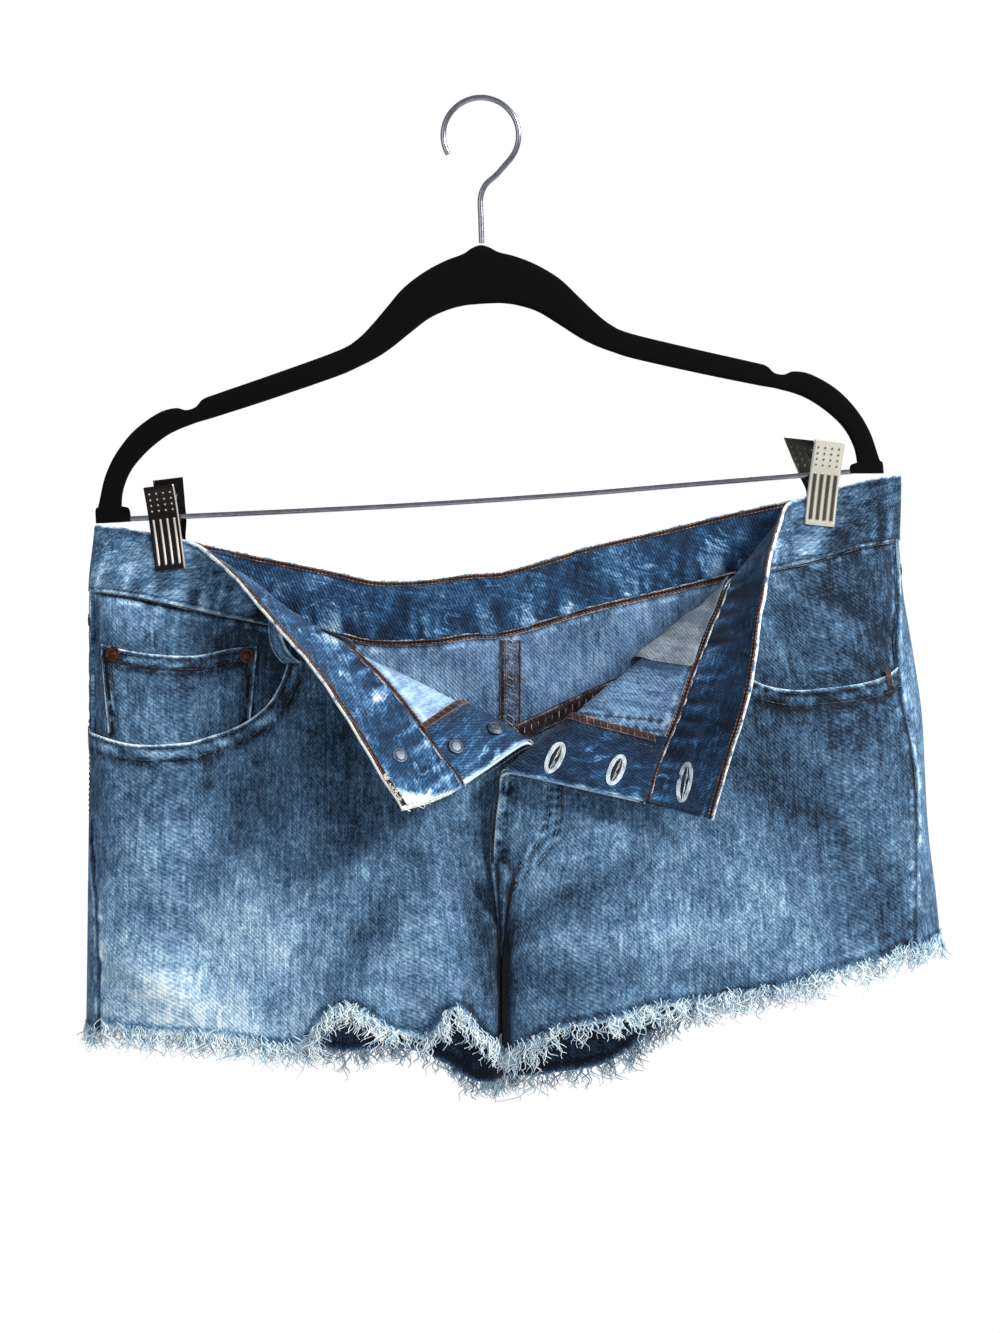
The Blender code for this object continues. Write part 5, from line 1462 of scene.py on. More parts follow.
def keep_ribbon(look, points, faces, flat, tone):
    tone = np.broadcast_to(tone, points.shape[:2])
    RIBBONS.setdefault(look.name, (look, []))[1].append(
        (points.reshape(-1, 3), faces, flat.reshape(-1, 2), tone.ravel()))


def ribbon(look, line, layer, half, side, base, wide, high, seed, tone, wear, grooves=()):
    """A raised strip of cloth along a line: a felled seam or a folded edge."""
    line = resampled(line, RIBBON_STEP)
    across = np.linspace(-0.5, 0.5, RIBBON_COLUMNS)
    flat = line[:, None] + directions(line)[1][:, None] * across[:, None] * wide
    place, normal, _ = on_cloth(flat[..., 0], flat[..., 1], layer, half)
    run = np.arange(len(line))[:, None] * RIBBON_STEP
    rope = cloud(run / 3.6 + across * 1.2, across * 2, seed)
    crown = np.clip(1 - np.abs(across * 2) ** 6, 0, 1)
    up = base - 0.25 + (high + 0.25) * crown + 0.18 * rope * crown
    for groove in grooves:
        up = up - 0.22 * bell(across * wide - groove, 0.6)
    points = place + side * normal * up[..., None]
    shade = tone + 0.14 * rope + wear * bell((np.abs(across) - 0.46) * wide, 0.8)
    faces = grid_faces(len(line), len(across), closed=False)
    keep_ribbon(look, points, faces[:, ::-1] if side * layer < 0 else faces, flat, shade)


def sew_all(looks):
    """Every visible row of stitches, felled seam, overlocked edge, bar tack and buttonhole."""
    for half in (LEFT, RIGHT):
        sew_front(half)
        sew_waistband(looks, half)
        sew_fly_facing(looks, half)
        sew_back(looks, half)
        low = band_row(BACK, half, end_p(BACK, half), EDGE_P[half], BAND_LOW_STITCH)[-1][1]
        edge = offset_line(side_seam(half, float(low), pocket_line(half)[-1][1] - 2.0), 1.0 * half)
        ribbon(looks["outside"], edge, FRONT, half, 1, -2.3, 3.2, 2.1, 561, 0.42, 0.1)
    sew_inseams()
    sew_centre(looks)
    sew_details()
    sew_buttonholes()
    sew_corner()


def sew_front(half):
    """The rows along a pocket's opening, the centre front edge and the side seam."""
    out, pocket = DENIM / 2, pocket_line(half)
    for off in (2.0, 8.6):
        stitch("tonal", offset_line(pocket, -off * half), FRONT, half, 1, out + 0.45)
    stitch("tonal", offset_line(centre_line(half), -2.0 * half)[2:-1], FRONT, half, 1, out + 0.2, 2.6)
    seam = side_seam(half, pocket[-1][1] + 6, pocket[-1][1] - 70)
    stitch("tonal", offset_line(seam, 3.0 * half), FRONT, half, 1, out + 0.1)


def sew_waistband(looks, half):
    """Two rows outside; inside, two taped edges with two rows each, and a row across its end."""
    band = BAND_THICK / 2
    for layer in (FRONT, BACK):
        start, stop = end_p(layer, half) + (2.5 * half if layer == FRONT else 0), EDGE_P[half]
        for share in (BAND_LOW_STITCH, BAND_TOP_STITCH):
            row = band_row(layer, half, start, stop, share)
            stitch("tonal", row, layer, half, 1, band - 0.05)
        for share, *strip in (
            (0.955, 4.4, 0.75, 541 + layer, 0.22, 0.75),
            (0.055, 3.4, 0.7, 551 + layer, 0.2, 0.3),
        ):
            row = band_row(layer, half, start, stop, share)
            ribbon(looks["brown_band"], row, layer, half, -1, band - 0.5, *strip)
        for share in BAND_INSIDE_ROWS:
            row = band_row(layer, half, start, stop, share)
            stitch("copper", row, layer, half, -1, band + 0.15, 2.3, 0.34)
    end = np.full(12, end_p(FRONT, half) + half * 2.2)
    end = band_line(end, FRONT, half, np.linspace(0.06, 0.94, 12))
    for side, thread in ((1, "tonal"), (-1, "brown")):
        stitch(thread, end, FRONT, half, side, band + 0.1, 2.6)


def sew_fly_facing(looks, half):
    """The overlocked edge of a fly facing, on a front's inside."""
    facing = DENIM / 2 + LAYER_GAP + FACING
    rim = facing_rim(half, 1.5)
    lower = np.stack([rim[-1] - [half * (FLY_WIDE[half] - 4), 0], rim[-1]])
    for line, wide, seed in ((rim, 4.6, 501), (lower, 4.4, 505)):
        ribbon(looks["brown_band"], line, FRONT, half, -1, facing, wide, 0.5, seed + half, 0.24, 0.5)
        zigzag("brown", line, FRONT, half, -1, facing + 0.3, wide * 0.8, 0.75, 0.26)
        zigzag("tan", line, FRONT, half, -1, facing + 0.36, wide * 0.9, 3.7, 0.17, 1.3)
        for off in (-0.42, 0.42):
            loose("copper", offset_line(line, off * wide), FRONT, half, -1, facing + 0.35, 0.32, seed + 3)
    stitch("brown", facing_rim(half, 7.0), FRONT, half, -1, facing)


def sew_back(looks, half):
    """The yoke's felled seam and the patch pocket's rows."""
    out = DENIM / 2
    p = span(BACK_SEAM_X + half * 4.0, EDGE_P[half], 2.0)
    yoke = np.stack([p, yoke_low(p, half)], -1)
    ribbon(looks["outside"], yoke, BACK, half, 1, out, 9.0, 0.8, 512, 0.5, 0.3, FELLED_ROWS)
    for off in FELLED_ROWS:
        stitch("tonal", offset_line(yoke, off), BACK, half, 1, out + 0.7, 2.8, 0.28)
    inside_felled(looks, yoke, half, 10.0, 510)
    pocket_high = out + LAYER_GAP + PATCH_THICK + 0.35
    for inset in (2.0, 7.0):
        stitch("tonal", resampled(patch_corners(half, inset), 2.0), BACK, half, 1, pocket_high)
    top = patch_corners(half, 2.0)[[0, -1]] - [0, 10.0]
    stitch("tonal", resampled(top, 3.0), BACK, half, 1, pocket_high)


def sew_inseams():
    """The overlocked inseam of each leg, beside the crease, as a near-black cord that also fills the gap
    between the legs as painted shade.
    """
    for layer in (FRONT, BACK):
        for half in (LEFT, RIGHT):
            z = span(INSEAM_TOP, float(hem_z(CREASE_X, layer, half)) + 1.0, 3.0)
            place, normal, _ = cloth(np.full(len(z), crease_p(half)), z, layer, half)
            place[:, 0] = CREASE_X + half * INSEAM_OFF
            place[:, 1] += -layer * (0.3 + 0.3 * cloud(z / 3.0, 0.5, 641))
            sewn("hole", place[None], np.full((1, len(z)), INSEAM_THICK), normal[:1], 6)


def inside_felled(looks, line, half, wide, seed):
    """A felled seam on the back's inside: dark strip, two rows of chain stitch, pale ticks between."""
    out = DENIM / 2
    steep = half is None
    look = looks["inside" if steep else "brown_band"]
    ribbon(look, line, BACK, half, -1, out, wide, 1.0, seed, 0.36 if steep else 0.32, -0.3 if steep else 0.5,
           (-wide * 0.27, wide * 0.27))
    for off in (-0.27, 0.27):
        for apart in (-0.45, 0.45):
            row = offset_line(line, off * wide + apart)
            stitch("copper" if steep else "brown", row, BACK, half, -1, out + 0.92, 2.4, 0.27)
    for off in (-0.5, 0.5):
        loose("brown", offset_line(line, off * wide), BACK, half, -1, out + 0.3, 0.36, seed + 7)
    zigzag("tan", line, BACK, half, -1, out + 0.85, wide * 0.3, 4.4, 0.34, 1.6)


def sew_centre(looks):
    """The felled seams at the centre back and under the fly."""
    z = span(CENTRE_SEAM_TOP, float(hem_z(CREASE_X, BACK, LEFT)) + 1, 2.0)
    back = np.stack([(back_centre(z, LEFT) + back_centre(z, RIGHT)) / 2, z], -1)
    out = DENIM / 2
    ribbon(looks["outside"], back[:67], BACK, None, 1, out, 9.5, 0.9, 521, 0.5, 0.3, (-2.8, 2.8))
    for off in (-2.8, 2.8):
        stitch("tonal", offset_line(back[:67], off), BACK, None, 1, out + 0.8, 2.8, 0.28)
    inside_felled(looks, back[:62], None, 11.5, 523)
    crotch_seam(looks["outside"])


def crotch_seam(look):
    """The felled seam that narrows from the fly down between the legs."""
    start, stop, left_over = CROTCH_SEAM
    z = span(start, stop, RIBBON_STEP)
    run = (start - z) / (start - stop)
    narrow = 1 - (1 - left_over) * run
    share = np.linspace(0, 1, 25)
    ends = {half: CREASE_X + half * CROTCH_REACH[half] * narrow for half in (LEFT, RIGHT)}
    left, right = (cloth(ends[half], z, FRONT, half)[0] for half in (LEFT, RIGHT))
    near = np.minimum(left[:, 1], right[:, 1])[:, None]
    points = left[:, None] * (1 - share[:, None]) + right[:, None] * share[:, None]
    crown = np.clip(1 - np.abs(share * 2 - 1) ** 5, 0, 1)
    ridges = 0.5 * bell(share - 0.08, 0.07) + 0.7 * bell(share - 0.5, 0.13)
    rope = 0.2 * cloud(z[:, None] / 4 + share * 2, share * 3, 651)
    points[..., 1] = near - DENIM / 2 - (0.1 + ridges + rope) * crown + 1.4 * (1 - crown)
    # pale edges and a pale mid ridge with a dark groove; the dark strip on its right side and the darkening
    # towards its lower end are painted shadow between the legs
    tone = 0.3 + 0.3 * bell(share - 0.06, 0.05) - 0.28 * bell(share - 0.21, 0.05)
    tone = tone + 0.2 * bell(share - 0.48, 0.1) + 0.7 * rope - 0.25 * run[:, None] ** 2
    tone = tone - 0.4 * smoothstep((share - 0.68) / 0.1) * smoothstep(run[:, None] / 0.3)
    p = ends[LEFT][:, None] + (ends[RIGHT] - ends[LEFT])[:, None] * share
    faces = grid_faces(len(z), len(share), closed=False, turned_over=True)
    keep_ribbon(look, points, faces, np.stack([p, z[:, None] + 0 * share], -1), tone)


def sew_details():
    """Fly stitching, bar tacks and the coin pocket's rows."""
    out = DENIM / 2
    for line in FLY_ROWS:
        line = curved(line)
        stitch("grey", line, FRONT, RIGHT, 1, out - 0.1, 2.8, 0.28)
        stitch("brown", line, FRONT, RIGHT, -1, out)
    for thread, start, stop, half, high, wide, radius in TACKS:
        zigzag(thread, [start, stop], FRONT, half, 1, out + high, wide, 0.5, radius)
    line = to_pattern(COIN_POCKET, LEFT)
    top = curved(line[:5])
    high = -DENIM / 2 - LAYER_GAP + 0.35
    for off in (2.0, 7.5):
        stitch("tonal", offset_line(top, -off), FRONT, LEFT, 1, high, 2.8, 0.24)
    for off in (1.8, 6.0):
        for side, way in ((line[4:8], -1), (line[[0, -1]], 1)):
            stitch("tonal", offset_line(resampled(side, 3.0), way * off), FRONT, LEFT, 1, high, 2.8, 0.24)


def sew_buttonholes():
    """Worked edges, a dark slit (painted shade in its opening) and a few loose yarns for each buttonhole."""
    turn = np.linspace(0, 2 * pi, 80)
    for i, (p, z, long, wide, tilt, on_fly) in enumerate(BUTTONHOLES):
        along, aside = long / 2 * np.cos(turn), wide / 2 * np.sin(turn)
        lean = radians(tilt)
        loop = np.stack([p + aside * cos(lean) + along * sin(lean),
                         z + along * cos(lean) - aside * sin(lean)], -1)
        height = DENIM / 2 + LAYER_GAP + FACING if on_fly else BAND_THICK / 2 + 0.25
        zigzag("pale", loop, FRONT, RIGHT, -1, height, 2.3, 0.62, 0.27, 0.9)
        for k, off in enumerate((-0.7, 0.1, 0.8)):
            loose("pale", offset_line(loop, off), FRONT, RIGHT, -1, height + 0.2, 0.3, 560 + 3 * i + k)
        zigzag("pale", loop, FRONT, RIGHT, 1, (DENIM if on_fly else BAND_THICK) / 2, 1.7, 0.55, 0.24, 0.6)
        reach = np.array([sin(lean), cos(lean)]) * long / 2
        slit = np.array([(p, z) + reach * 0.62, (p, z) - reach * 0.62])
        zigzag("hole", slit, FRONT, RIGHT, -1, height - 0.1, wide * 0.5, 0.4, 0.34, 0.0)
        for k in range(4):
            start = (p, z) + reach * (0.9 - 0.25 * k) + np.array([0.8, 0.4]) * (k % 2)
            bow = start - reach * (0.5 + 0.12 * k) + np.array([-0.9, 0.7]) * (1 - k % 2)
            yarn = [start, bow, start - reach * (0.95 + 0.1 * k)]
            loose("pale", yarn, FRONT, RIGHT, -1, height + 0.3, 0.17, 570 + k)


def sew_corner():
    """Loose threads at the left flap's worn corner."""
    corner = np.array([end_p(FRONT, LEFT), waist_z(end_p(FRONT, LEFT), FRONT, LEFT)])
    rng = np.random.RandomState(580)
    for k in range(CORNER_THREADS):
        along = rng.uniform(0, 1)
        start = corner + (np.array([0.3 + 4.0 * along, -1.0 - 28.0 * along]) if k % 2
                          else np.array([-26.0 * along - 0.5, -0.6]))
        drift = rng.uniform(-2.4, 2.4, 4)
        line = [start, start + [drift[0], -1.5 + drift[1] * 0.3],
                start + [drift[0] + drift[2], drift[3] - 1.5]]
        line = np.minimum(np.array(line), [end_p(FRONT, LEFT) + 4.5, corner[1] - 0.3])
        loose("cream", line, FRONT, LEFT, -1, BAND_THICK / 2 + 0.35, 0.2, 590 + k)


def gathered(looks):
    """Joins the rows of one thread into one piece, and the seams of one cloth into another."""
    for thread, parts in SEWN.items():
        points, faces = joined(parts)
        mesh_piece("stitches_" + thread, points, faces, [looks["thread_" + thread]], None, points[:, [0, 2]],
                   0.5 + 0.4 * cloud(points[:, 0] / 3, points[:, 2] / 3, 601))
    for name, (look, parts) in RIBBONS.items():
        points, faces = joined([part[:2] for part in parts])
        uv, tone = (np.concatenate([part[k] for part in parts]) for k in (2, 3))
        mesh_piece("felled_seams_" + name, points, faces, [look], None, uv, tone)


# ---- the fringe ----------------------------------------------------------
def make_fringe(layer, half, looks):
    """Loose yarns below a raw hem, in uneven clumps, with the odd long thread."""
    rng = np.random.RandomState(700 + layer * 3 + half)
    hem = hem_line(layer, half)
    long = length_of(hem)
    count = int(long * FRINGE_DENSITY[layer])
    at = np.sort(rng.uniform(0.3, long - 0.3, count))
    p, z = along_line(hem, at)
    seed = 710 + layer * 2 + half
    clump = cloud(at / 4.2, 0.5, seed)
    tuft = np.round(at / 1.7 + 0.5 * cloud(at / 3.0, 9.5, seed))
    own = np.random.RandomState(seed + 5).normal(0, 1, (int(long) + 4, 3))[tuft.astype(int) % (int(long) + 4)]
    lean = 0.3 * clump + 0.26 * own[:, 0] + rng.normal(0, 0.17, count)
    length = FRINGE_LONG[layer] * (0.78 + 0.26 * cloud(at / 6.0, 2.5, seed + 2) + 0.1 * own[:, 1]
                                   + rng.uniform(-0.3, 0.22, count))
    length *= np.where(rng.uniform(0, 1, count) < LONG_YARNS, 1.3, 1.0)
    bend = rng.normal(0.1, 0.35, count) + 0.6 * cloud(at / 4.0, 6.5, seed + 3)
    curl, wave = own[:, 2] * 0.5 + rng.uniform(-0.6, 0.6, count), rng.uniform(0, 2 * pi, count)
    share = np.linspace(0, 1, YARN_POINTS)
    place, normal, across = cloth(p, z, layer, half)
    fall = unit(np.cross(across, normal) * layer)
    fall = np.where(fall[:, 2:] > 0, -fall, fall)
    swing = lean[:, None] * share + curl[:, None] * 0.5 * share ** 2
    swing = swing + 0.11 * np.sin(wave[:, None] + share * 9)
    out = bend[:, None] * 0.5 * share ** 1.6 + 0.06 * np.cos(wave[:, None] * 2 + share * 8)
    over = rng.uniform(0, 1, count) < OVER_YARNS
    drop = share * (1 - 0.25 * np.abs(swing)) - np.where(over, OVER_FROM, UNDER_FROM)[:, None]
    depth_at = np.where(over, 0.62, rng.uniform(-0.45, 0.45, count)) * DENIM
    routes = (place[:, None] + normal[:, None] * (depth_at[:, None] + length[:, None] * out)[..., None]
              + across[:, None] * (length[:, None] * swing)[..., None]
              + fall[:, None] * (length[:, None] * drop)[..., None])
    lowest = CAD_BOX[0][2] / MM + 1.0
    routes[..., 2] = np.maximum(routes[..., 2], lowest)
    thick = rng.uniform(*YARN_THICK, count)
    radii = thick[:, None] * (1 - 0.55 * share ** 2)
    points, faces = tubes(routes, radii, normal, YARN_SIDES)
    blue = rng.uniform(0, 1, count) < BLUE_YARNS
    tone = np.where(blue, rng.uniform(0.1, 0.4, count), rng.uniform(0.5, 0.95, count))
    tone = tone - (0.12 if layer == BACK else 0)
    tone = (tone[:, None] + 0.1 - 0.25 * np.exp(-share * 7)) + np.zeros((count, len(share)))
    tone = np.repeat(tone.ravel(), YARN_SIDES)
    name = side_name("fringe_front" if layer == FRONT else "fringe_back", half)
    return stands_for(mesh_piece("frayed_" + name, points, faces, [looks["fray"]], None,
                                 points[:, [0, 2]], tone))


# ---- belt loops, buttons and rivets --------------------------------------
def make_belt_loop(name, layer, x, stand, drop, looks):
    """A strip from near the top of the waistband to just below it, standing off."""
    half = LEFT if x < CREASE_X else RIGHT
    p = float(unroll(x, WAIST_LEVEL, half))
    top = float(waist_z(x, layer, half)) - drop
    place, out, across = cloth(np.array([p, p]), np.array([top, top - LOOP_LONG]), layer, half)
    place = place + out * (BAND_THICK / 2 + LAYER_GAP)
    outward = unit(out.sum(0))
    knee = place.mean(0) + outward * stand * 2
    t = np.linspace(0, 1, LOOP_ROWS)[:, None]
    route = place[0] * (1 - t) ** 2 + knee * 2 * t * (1 - t) + place[1] * t * t
    side = unit(across[0] * (1 - t) + across[1] * t)
    ahead = unit((knee - place[0]) * (1 - t) + (place[1] - knee) * t)
    up = np.cross(side, ahead)
    up = up * np.sign((up * outward).sum(-1, keepdims=True))
    share = np.linspace(-0.5, 0.5, LOOP_COLUMNS)
    rope = 0.12 * cloud(t * 12, share * 3, 801 + int(abs(x)))
    crown = np.sqrt(np.clip(1 - np.abs(share * 2) ** 10, 0.02, 1))
    edge = 0.25 * bell(np.abs(share) - 0.4, 0.09)
    high = LOOP_THICK * (0.72 * crown + 0.2 * edge) + rope * crown
    wide = side[:, None] * (share * LOOP_WIDE)[:, None]
    upper = route[:, None] + wide + up[:, None] * high[..., None]
    lower = route[:, None] + wide + np.zeros_like(upper)
    points = np.concatenate([upper, lower[:, ::-1]], 1)
    rows, ring = points.shape[:2]
    faces = np.concatenate([grid_faces(rows, ring), end_caps(rows, ring)])
    uv = np.zeros((rows, ring, 2))
    uv[..., 0] = x + np.concatenate([share, share[::-1]]) * LOOP_WIDE
    uv[..., 1] = -t * LOOP_LONG
    worn = 0.5 + 0.5 * bell(np.abs(share) - 0.5, 0.08) + rope * 0.8
    tone = np.concatenate([worn, np.full(worn.shape, 0.45)], 1)
    piece = stands_for(mesh_piece("denim_" + name, points, faces, [looks["outside"]], None, uv, tone))
    share = np.linspace(-0.5, 0.5, 5)
    index = (np.linspace(0.06, 0.94, 14)[:, None] + share * 0.052) * (rows - 1)
    low = np.clip(index.astype(int), 0, rows - 2)
    blend = (index - low)[..., None]
    middle = route[low] * (1 - blend) + route[low + 1] * blend
    lift = (LOOP_THICK * 0.74 + 0.22 * np.cos(share * pi))[None, :, None]
    for off in (-0.27, 0.27):
        at = middle + side[low] * off * LOOP_WIDE + up[low] * lift
        sewn("tonal", at, np.full(at.shape[:2], 0.25), up[low[:, 2]], 5)
    return piece


def turned_piece(name, place, axis, foot, profile, look, sides=36):
    """A turned metal piece: profile rows are (height along the axis over its foot, radius)."""
    axis = unit(axis)
    side = unit(np.cross(axis, [0.3, 0.2, 1.0]))
    over = np.cross(axis, side)
    turn = np.arange(sides) * 2 * pi / sides
    circle = side * np.cos(turn)[:, None] + over * np.sin(turn)[:, None]
    steps = len(profile) - 1
    rows = [(foot + high, radius) for high, radius in profile]
    high, radius = smooth_through(rows, np.linspace(0, steps, steps * 5 + 1))
    rows = np.stack([high, np.maximum(radius, 0.01)], -1)
    points = place + rows[:, None, :1] * axis + circle[None] * rows[:, None, 1:]
    return stands_for(mesh_piece(name, points, grid_faces(len(rows), sides), [look], sharp=50))


def front_spot(x, z):
    """Place and normal at (x, z) on the left front, for buttons and rivets."""
    p = float(unroll(x, z, LEFT))
    place, normal, _ = (part[0] for part in cloth(np.array([p]), np.array([z]), FRONT, LEFT))
    return place, normal


def make_button(name, x, z, across, layers, looks):
    """A turned head on its foot outside, and the cap of its tack inside."""
    place, normal = front_spot(x, z)
    foot, radius = layers / 2 + SHANK_GAP, across / 2
    head = ((0, 2.4), (2.2, 2.4), (2.4, radius - 0.8), (2.7, radius - 0.1), (3.4, radius),
            (4.2, radius - 0.3), (4.5, radius * 0.84), (4.1, radius * 0.74), (4.4, radius * 0.6),
            (5.0, radius * 0.3), (5.2, 0.01))
    turned_piece("copper_" + name, place, normal, foot, head, looks["copper"], 44)
    facing = 0 if layers > DENIM else FACING + LAYER_GAP
    back, radius = layers / 2 + facing + SEAM_GAP, TACK_ACROSS / 2
    tack = ((0, radius - 0.5), (0.35, radius), (0.8, radius - 0.1), (1.05, radius - 0.7),
            (0.85, radius - 1.0), (1.3, radius * 0.6), (1.5, 0.01))
    turned_piece("nickel_" + name + "_tack", place, -normal, back, tack, looks["nickel"])


def make_rivet(index, x, z, looks):
    place, normal = front_spot(x, z)
    foot, radius = -DENIM / 2 - LAYER_GAP + RIVET_GAP, RIVET_ACROSS / 2
    cap = ((0, radius), (0.5, radius), (1.0, radius - 0.4), (1.15, radius * 0.72), (0.8, radius * 0.6),
           (0.85, radius * 0.45), (1.35, radius * 0.32), (1.5, 0.01))
    turned_piece("copper_rivet_%d" % index, place, normal, foot, cap, looks["copper"])


# ---- the hanger ----------------------------------------------------------
def hanger_point(x, z):
    """From the untilted hanger, about its neck, to the world."""
    wide = x * np.where(x < 0, ARM_SPAN[LEFT], ARM_SPAN[RIGHT])
    return (NECK[0] + wide * cos(HANGER_TILT) - z * sin(HANGER_TILT),
            NECK[1] + wide * sin(HANGER_TILT) + z * cos(HANGER_TILT))


def make_hanger_body(looks):
    rows = [(-a, b, -c, d) for a, b, c, d in reversed(ARM[1:])] + list(ARM)
    steps = len(rows) - 1
    ox, oz, ix, iz = smooth_through(rows, np.linspace(0, steps, steps * 6 + 1))
    tops, lows = np.stack(hanger_point(ox, oz), -1), np.stack(hanger_point(ix, iz), -1)
    cut = np.where(ox < 0, TIP_CUT[LEFT], TIP_CUT[RIGHT])
    tops[:, 1], lows[:, 1] = np.maximum(tops[:, 1], cut), np.maximum(lows[:, 1], cut)
    turn = np.arange(BODY_SIDES) * 2 * pi / BODY_SIDES
    across = np.sign(np.cos(turn)) * np.abs(np.cos(turn)) ** BODY_SQUARE
    out = np.sign(np.sin(turn)) * np.abs(np.sin(turn)) ** BODY_SQUARE
    middle, half_wide = (tops + lows) / 2, (lows - tops) / 2
    flat = middle[:, None] + half_wide[:, None] * across[:, None]
    fuzz = 0.08 * cloud(np.arange(len(ox))[:, None] * 1.7, turn * 5, 811)
    y = out * BODY_THICK / 2 + fuzz * np.sign(out)
    points = np.stack([flat[..., 0], y, flat[..., 1]], -1)
    rows, ring = points.shape[:2]
    faces = np.concatenate([grid_faces(rows, ring, turned_over=True), end_caps(rows, ring)])
    stands_for(mesh_piece("flocked_hanger_body", points, faces, [looks["flock"]], None, points[..., [0, 2]],
                          sharp=60))


def wire_piece(name, route, width, look, sides=14):
    """A round wire along a route, with closed ends."""
    route = np.asarray(route, float)
    ahead = unit(route[[1, -1]] - route[[0, -2]])
    route = np.vstack([route[:1] + ahead[:1] * 0.01, route, route[-1:] - ahead[1:] * 0.01])
    radii = np.full(len(route), width / 2)
    radii[[0, -1]] = 0.01
    points, faces = tubes(route[None], radii[None], np.array([[0.0, 1.0, 0.02]]), sides)
    return mesh_piece(name, points, faces, [look], None, points[:, [0, 2]], sharp=50)


def bent_wire(points):
    """A smooth curve in the hanger's plane."""
    x, z = smooth_through(points, np.linspace(0, len(points) - 1, 60))
    return np.stack([x, 0 * x, z], -1)


def make_hook(looks):
    radius = HOOK_INSIDE + WIRE / 2
    turn = np.radians(span(HOOK_FROM, HOOK_TO, 3))
    bend = np.stack([radius * np.cos(turn), np.zeros(len(turn)), HOOK_CENTRE_Z + radius * np.sin(turn)], -1)
    shank = bent_wire(SHANK + ((bend[0][0], bend[0][2]),))[:-1]
    stands_for(wire_piece("chrome_hook", np.vstack([shank, bend]), WIRE, looks["chrome"]))


def make_rod(looks):
    line = bent_wire(ROD_LINE)
    for end, inner in ((0, 1), (-1, -2)):
        line[end] += unit(line[end] - line[inner]) * ROD_INTO_FOOT
    stands_for(wire_piece("chrome_rod", line, ROD, looks["chrome"]), "hanger_rod")


def clip_place(half, across, height, out):
    """World places from across and up a clip's plate, which leans about the rod."""
    lean = CLIP_LEAN[half]
    return np.stack([CLIP_ROD_X[half] + across * cos(lean) + height * sin(lean), out + 0 * across,
                     CLIP_ROD_Z[half] - across * sin(lean) + height * cos(lean)], -1)


def make_clip_plate(half, side, looks):
    """A pressed plate: four ribs down its jaw, rows of dimples on its handle, folded edges."""
    rows = FRONT_PLATE if side == FRONT else BACK_PLATE[half]
    low, high = rows[0][0], rows[-1][0]
    heights, across = np.linspace(low, high, 100), np.linspace(-0.5, 0.5, 56)
    h, a = np.meshgrid(heights, across * CLIP_WIDE, indexing="ij")
    jaw = smoothstep((h - low - RIBS_FROM) / RIBS_FADE) * smoothstep((RIBS_TO - h) / RIBS_FADE)
    base, shift = read(rows, h, 1), read(rows, h, 2)
    ribs = np.zeros_like(h)
    for x in CLIP_RIBS:
        ribs += RIB_HIGH * bell(a - x, RIB_WIDE, 4) * jaw
        for z in CLIP_DIMPLES:
            ribs += DIMPLE_HIGH * np.exp(-(((a - x) ** 2 + (h - z) ** 2) / RIB_WIDE ** 2) ** 1.5)
    # The tone paints light on the pressing: the ribs and dimples take painted highlights, on the right front
    # plate wide painted dark reflections round its ribs, and the left front plate a painted highlight along
    # its right edge.
    tone = np.clip(ribs * 1.9, 0, 1)
    if (half, side) == (RIGHT, FRONT):
        for x in CLIP_RIBS:
            tone = np.maximum(tone, 0.85 * bell(a - x - 0.2, 1.2, 6) * jaw)
    if (half, side) == (LEFT, FRONT):
        tone = np.maximum(tone, 0.9 * smoothstep((a - CLIP_WIDE / 2 + 1.0) / 0.6))
    fold = np.clip((np.abs(a) - CLIP_WIDE / 2 + 1.2) / 1.2, 0, 1) ** 2 * 1.1
    top = np.clip((h - high + 1.5) / 1.5, 0, 1) ** 2 * 0.8
    foot = np.clip((low + 1.2 - h) / 1.2, 0, 1) ** 2 * 0.5
    face = base + CLIP_THICK + ribs - fold - top - foot
    inner = base + 0.15 + ribs * 0.6 - fold * 0.1
    inner = np.minimum(inner, face - 0.35)
    upper, lower = (clip_place(half, a + shift, h, 0.0) + np.array([0, side, 0]) * out[..., None]
                    for out in (face, inner))
    count, ring = h.shape
    quads, total = grid_faces(count, ring, closed=False), count * ring
    rim = [(j, j + 1) for start in (0, (count - 1) * ring) for j in range(start, start + ring - 1)]
    rim += [(j, j + ring) for row in range(count - 1) for j in (row * ring, row * ring + ring - 1)]
    border = [(j, k, total + k, total + j) for j, k in rim]
    faces = np.concatenate([quads, quads[:, ::-1] + total, border])
    points = np.concatenate([upper.reshape(-1, 3), lower.reshape(-1, 3)])
    name = side_name("clip_front" if side == FRONT else "clip_back", half)
    look = looks["clip_dark" if half == LEFT else "clip_pale" if side == FRONT else "clip_grey"]
    stands_for(mesh_piece("pressed_" + name, points, faces, [look], None, points[:, [0, 2]],
                          np.concatenate([tone, 0 * tone]), sharp=55))


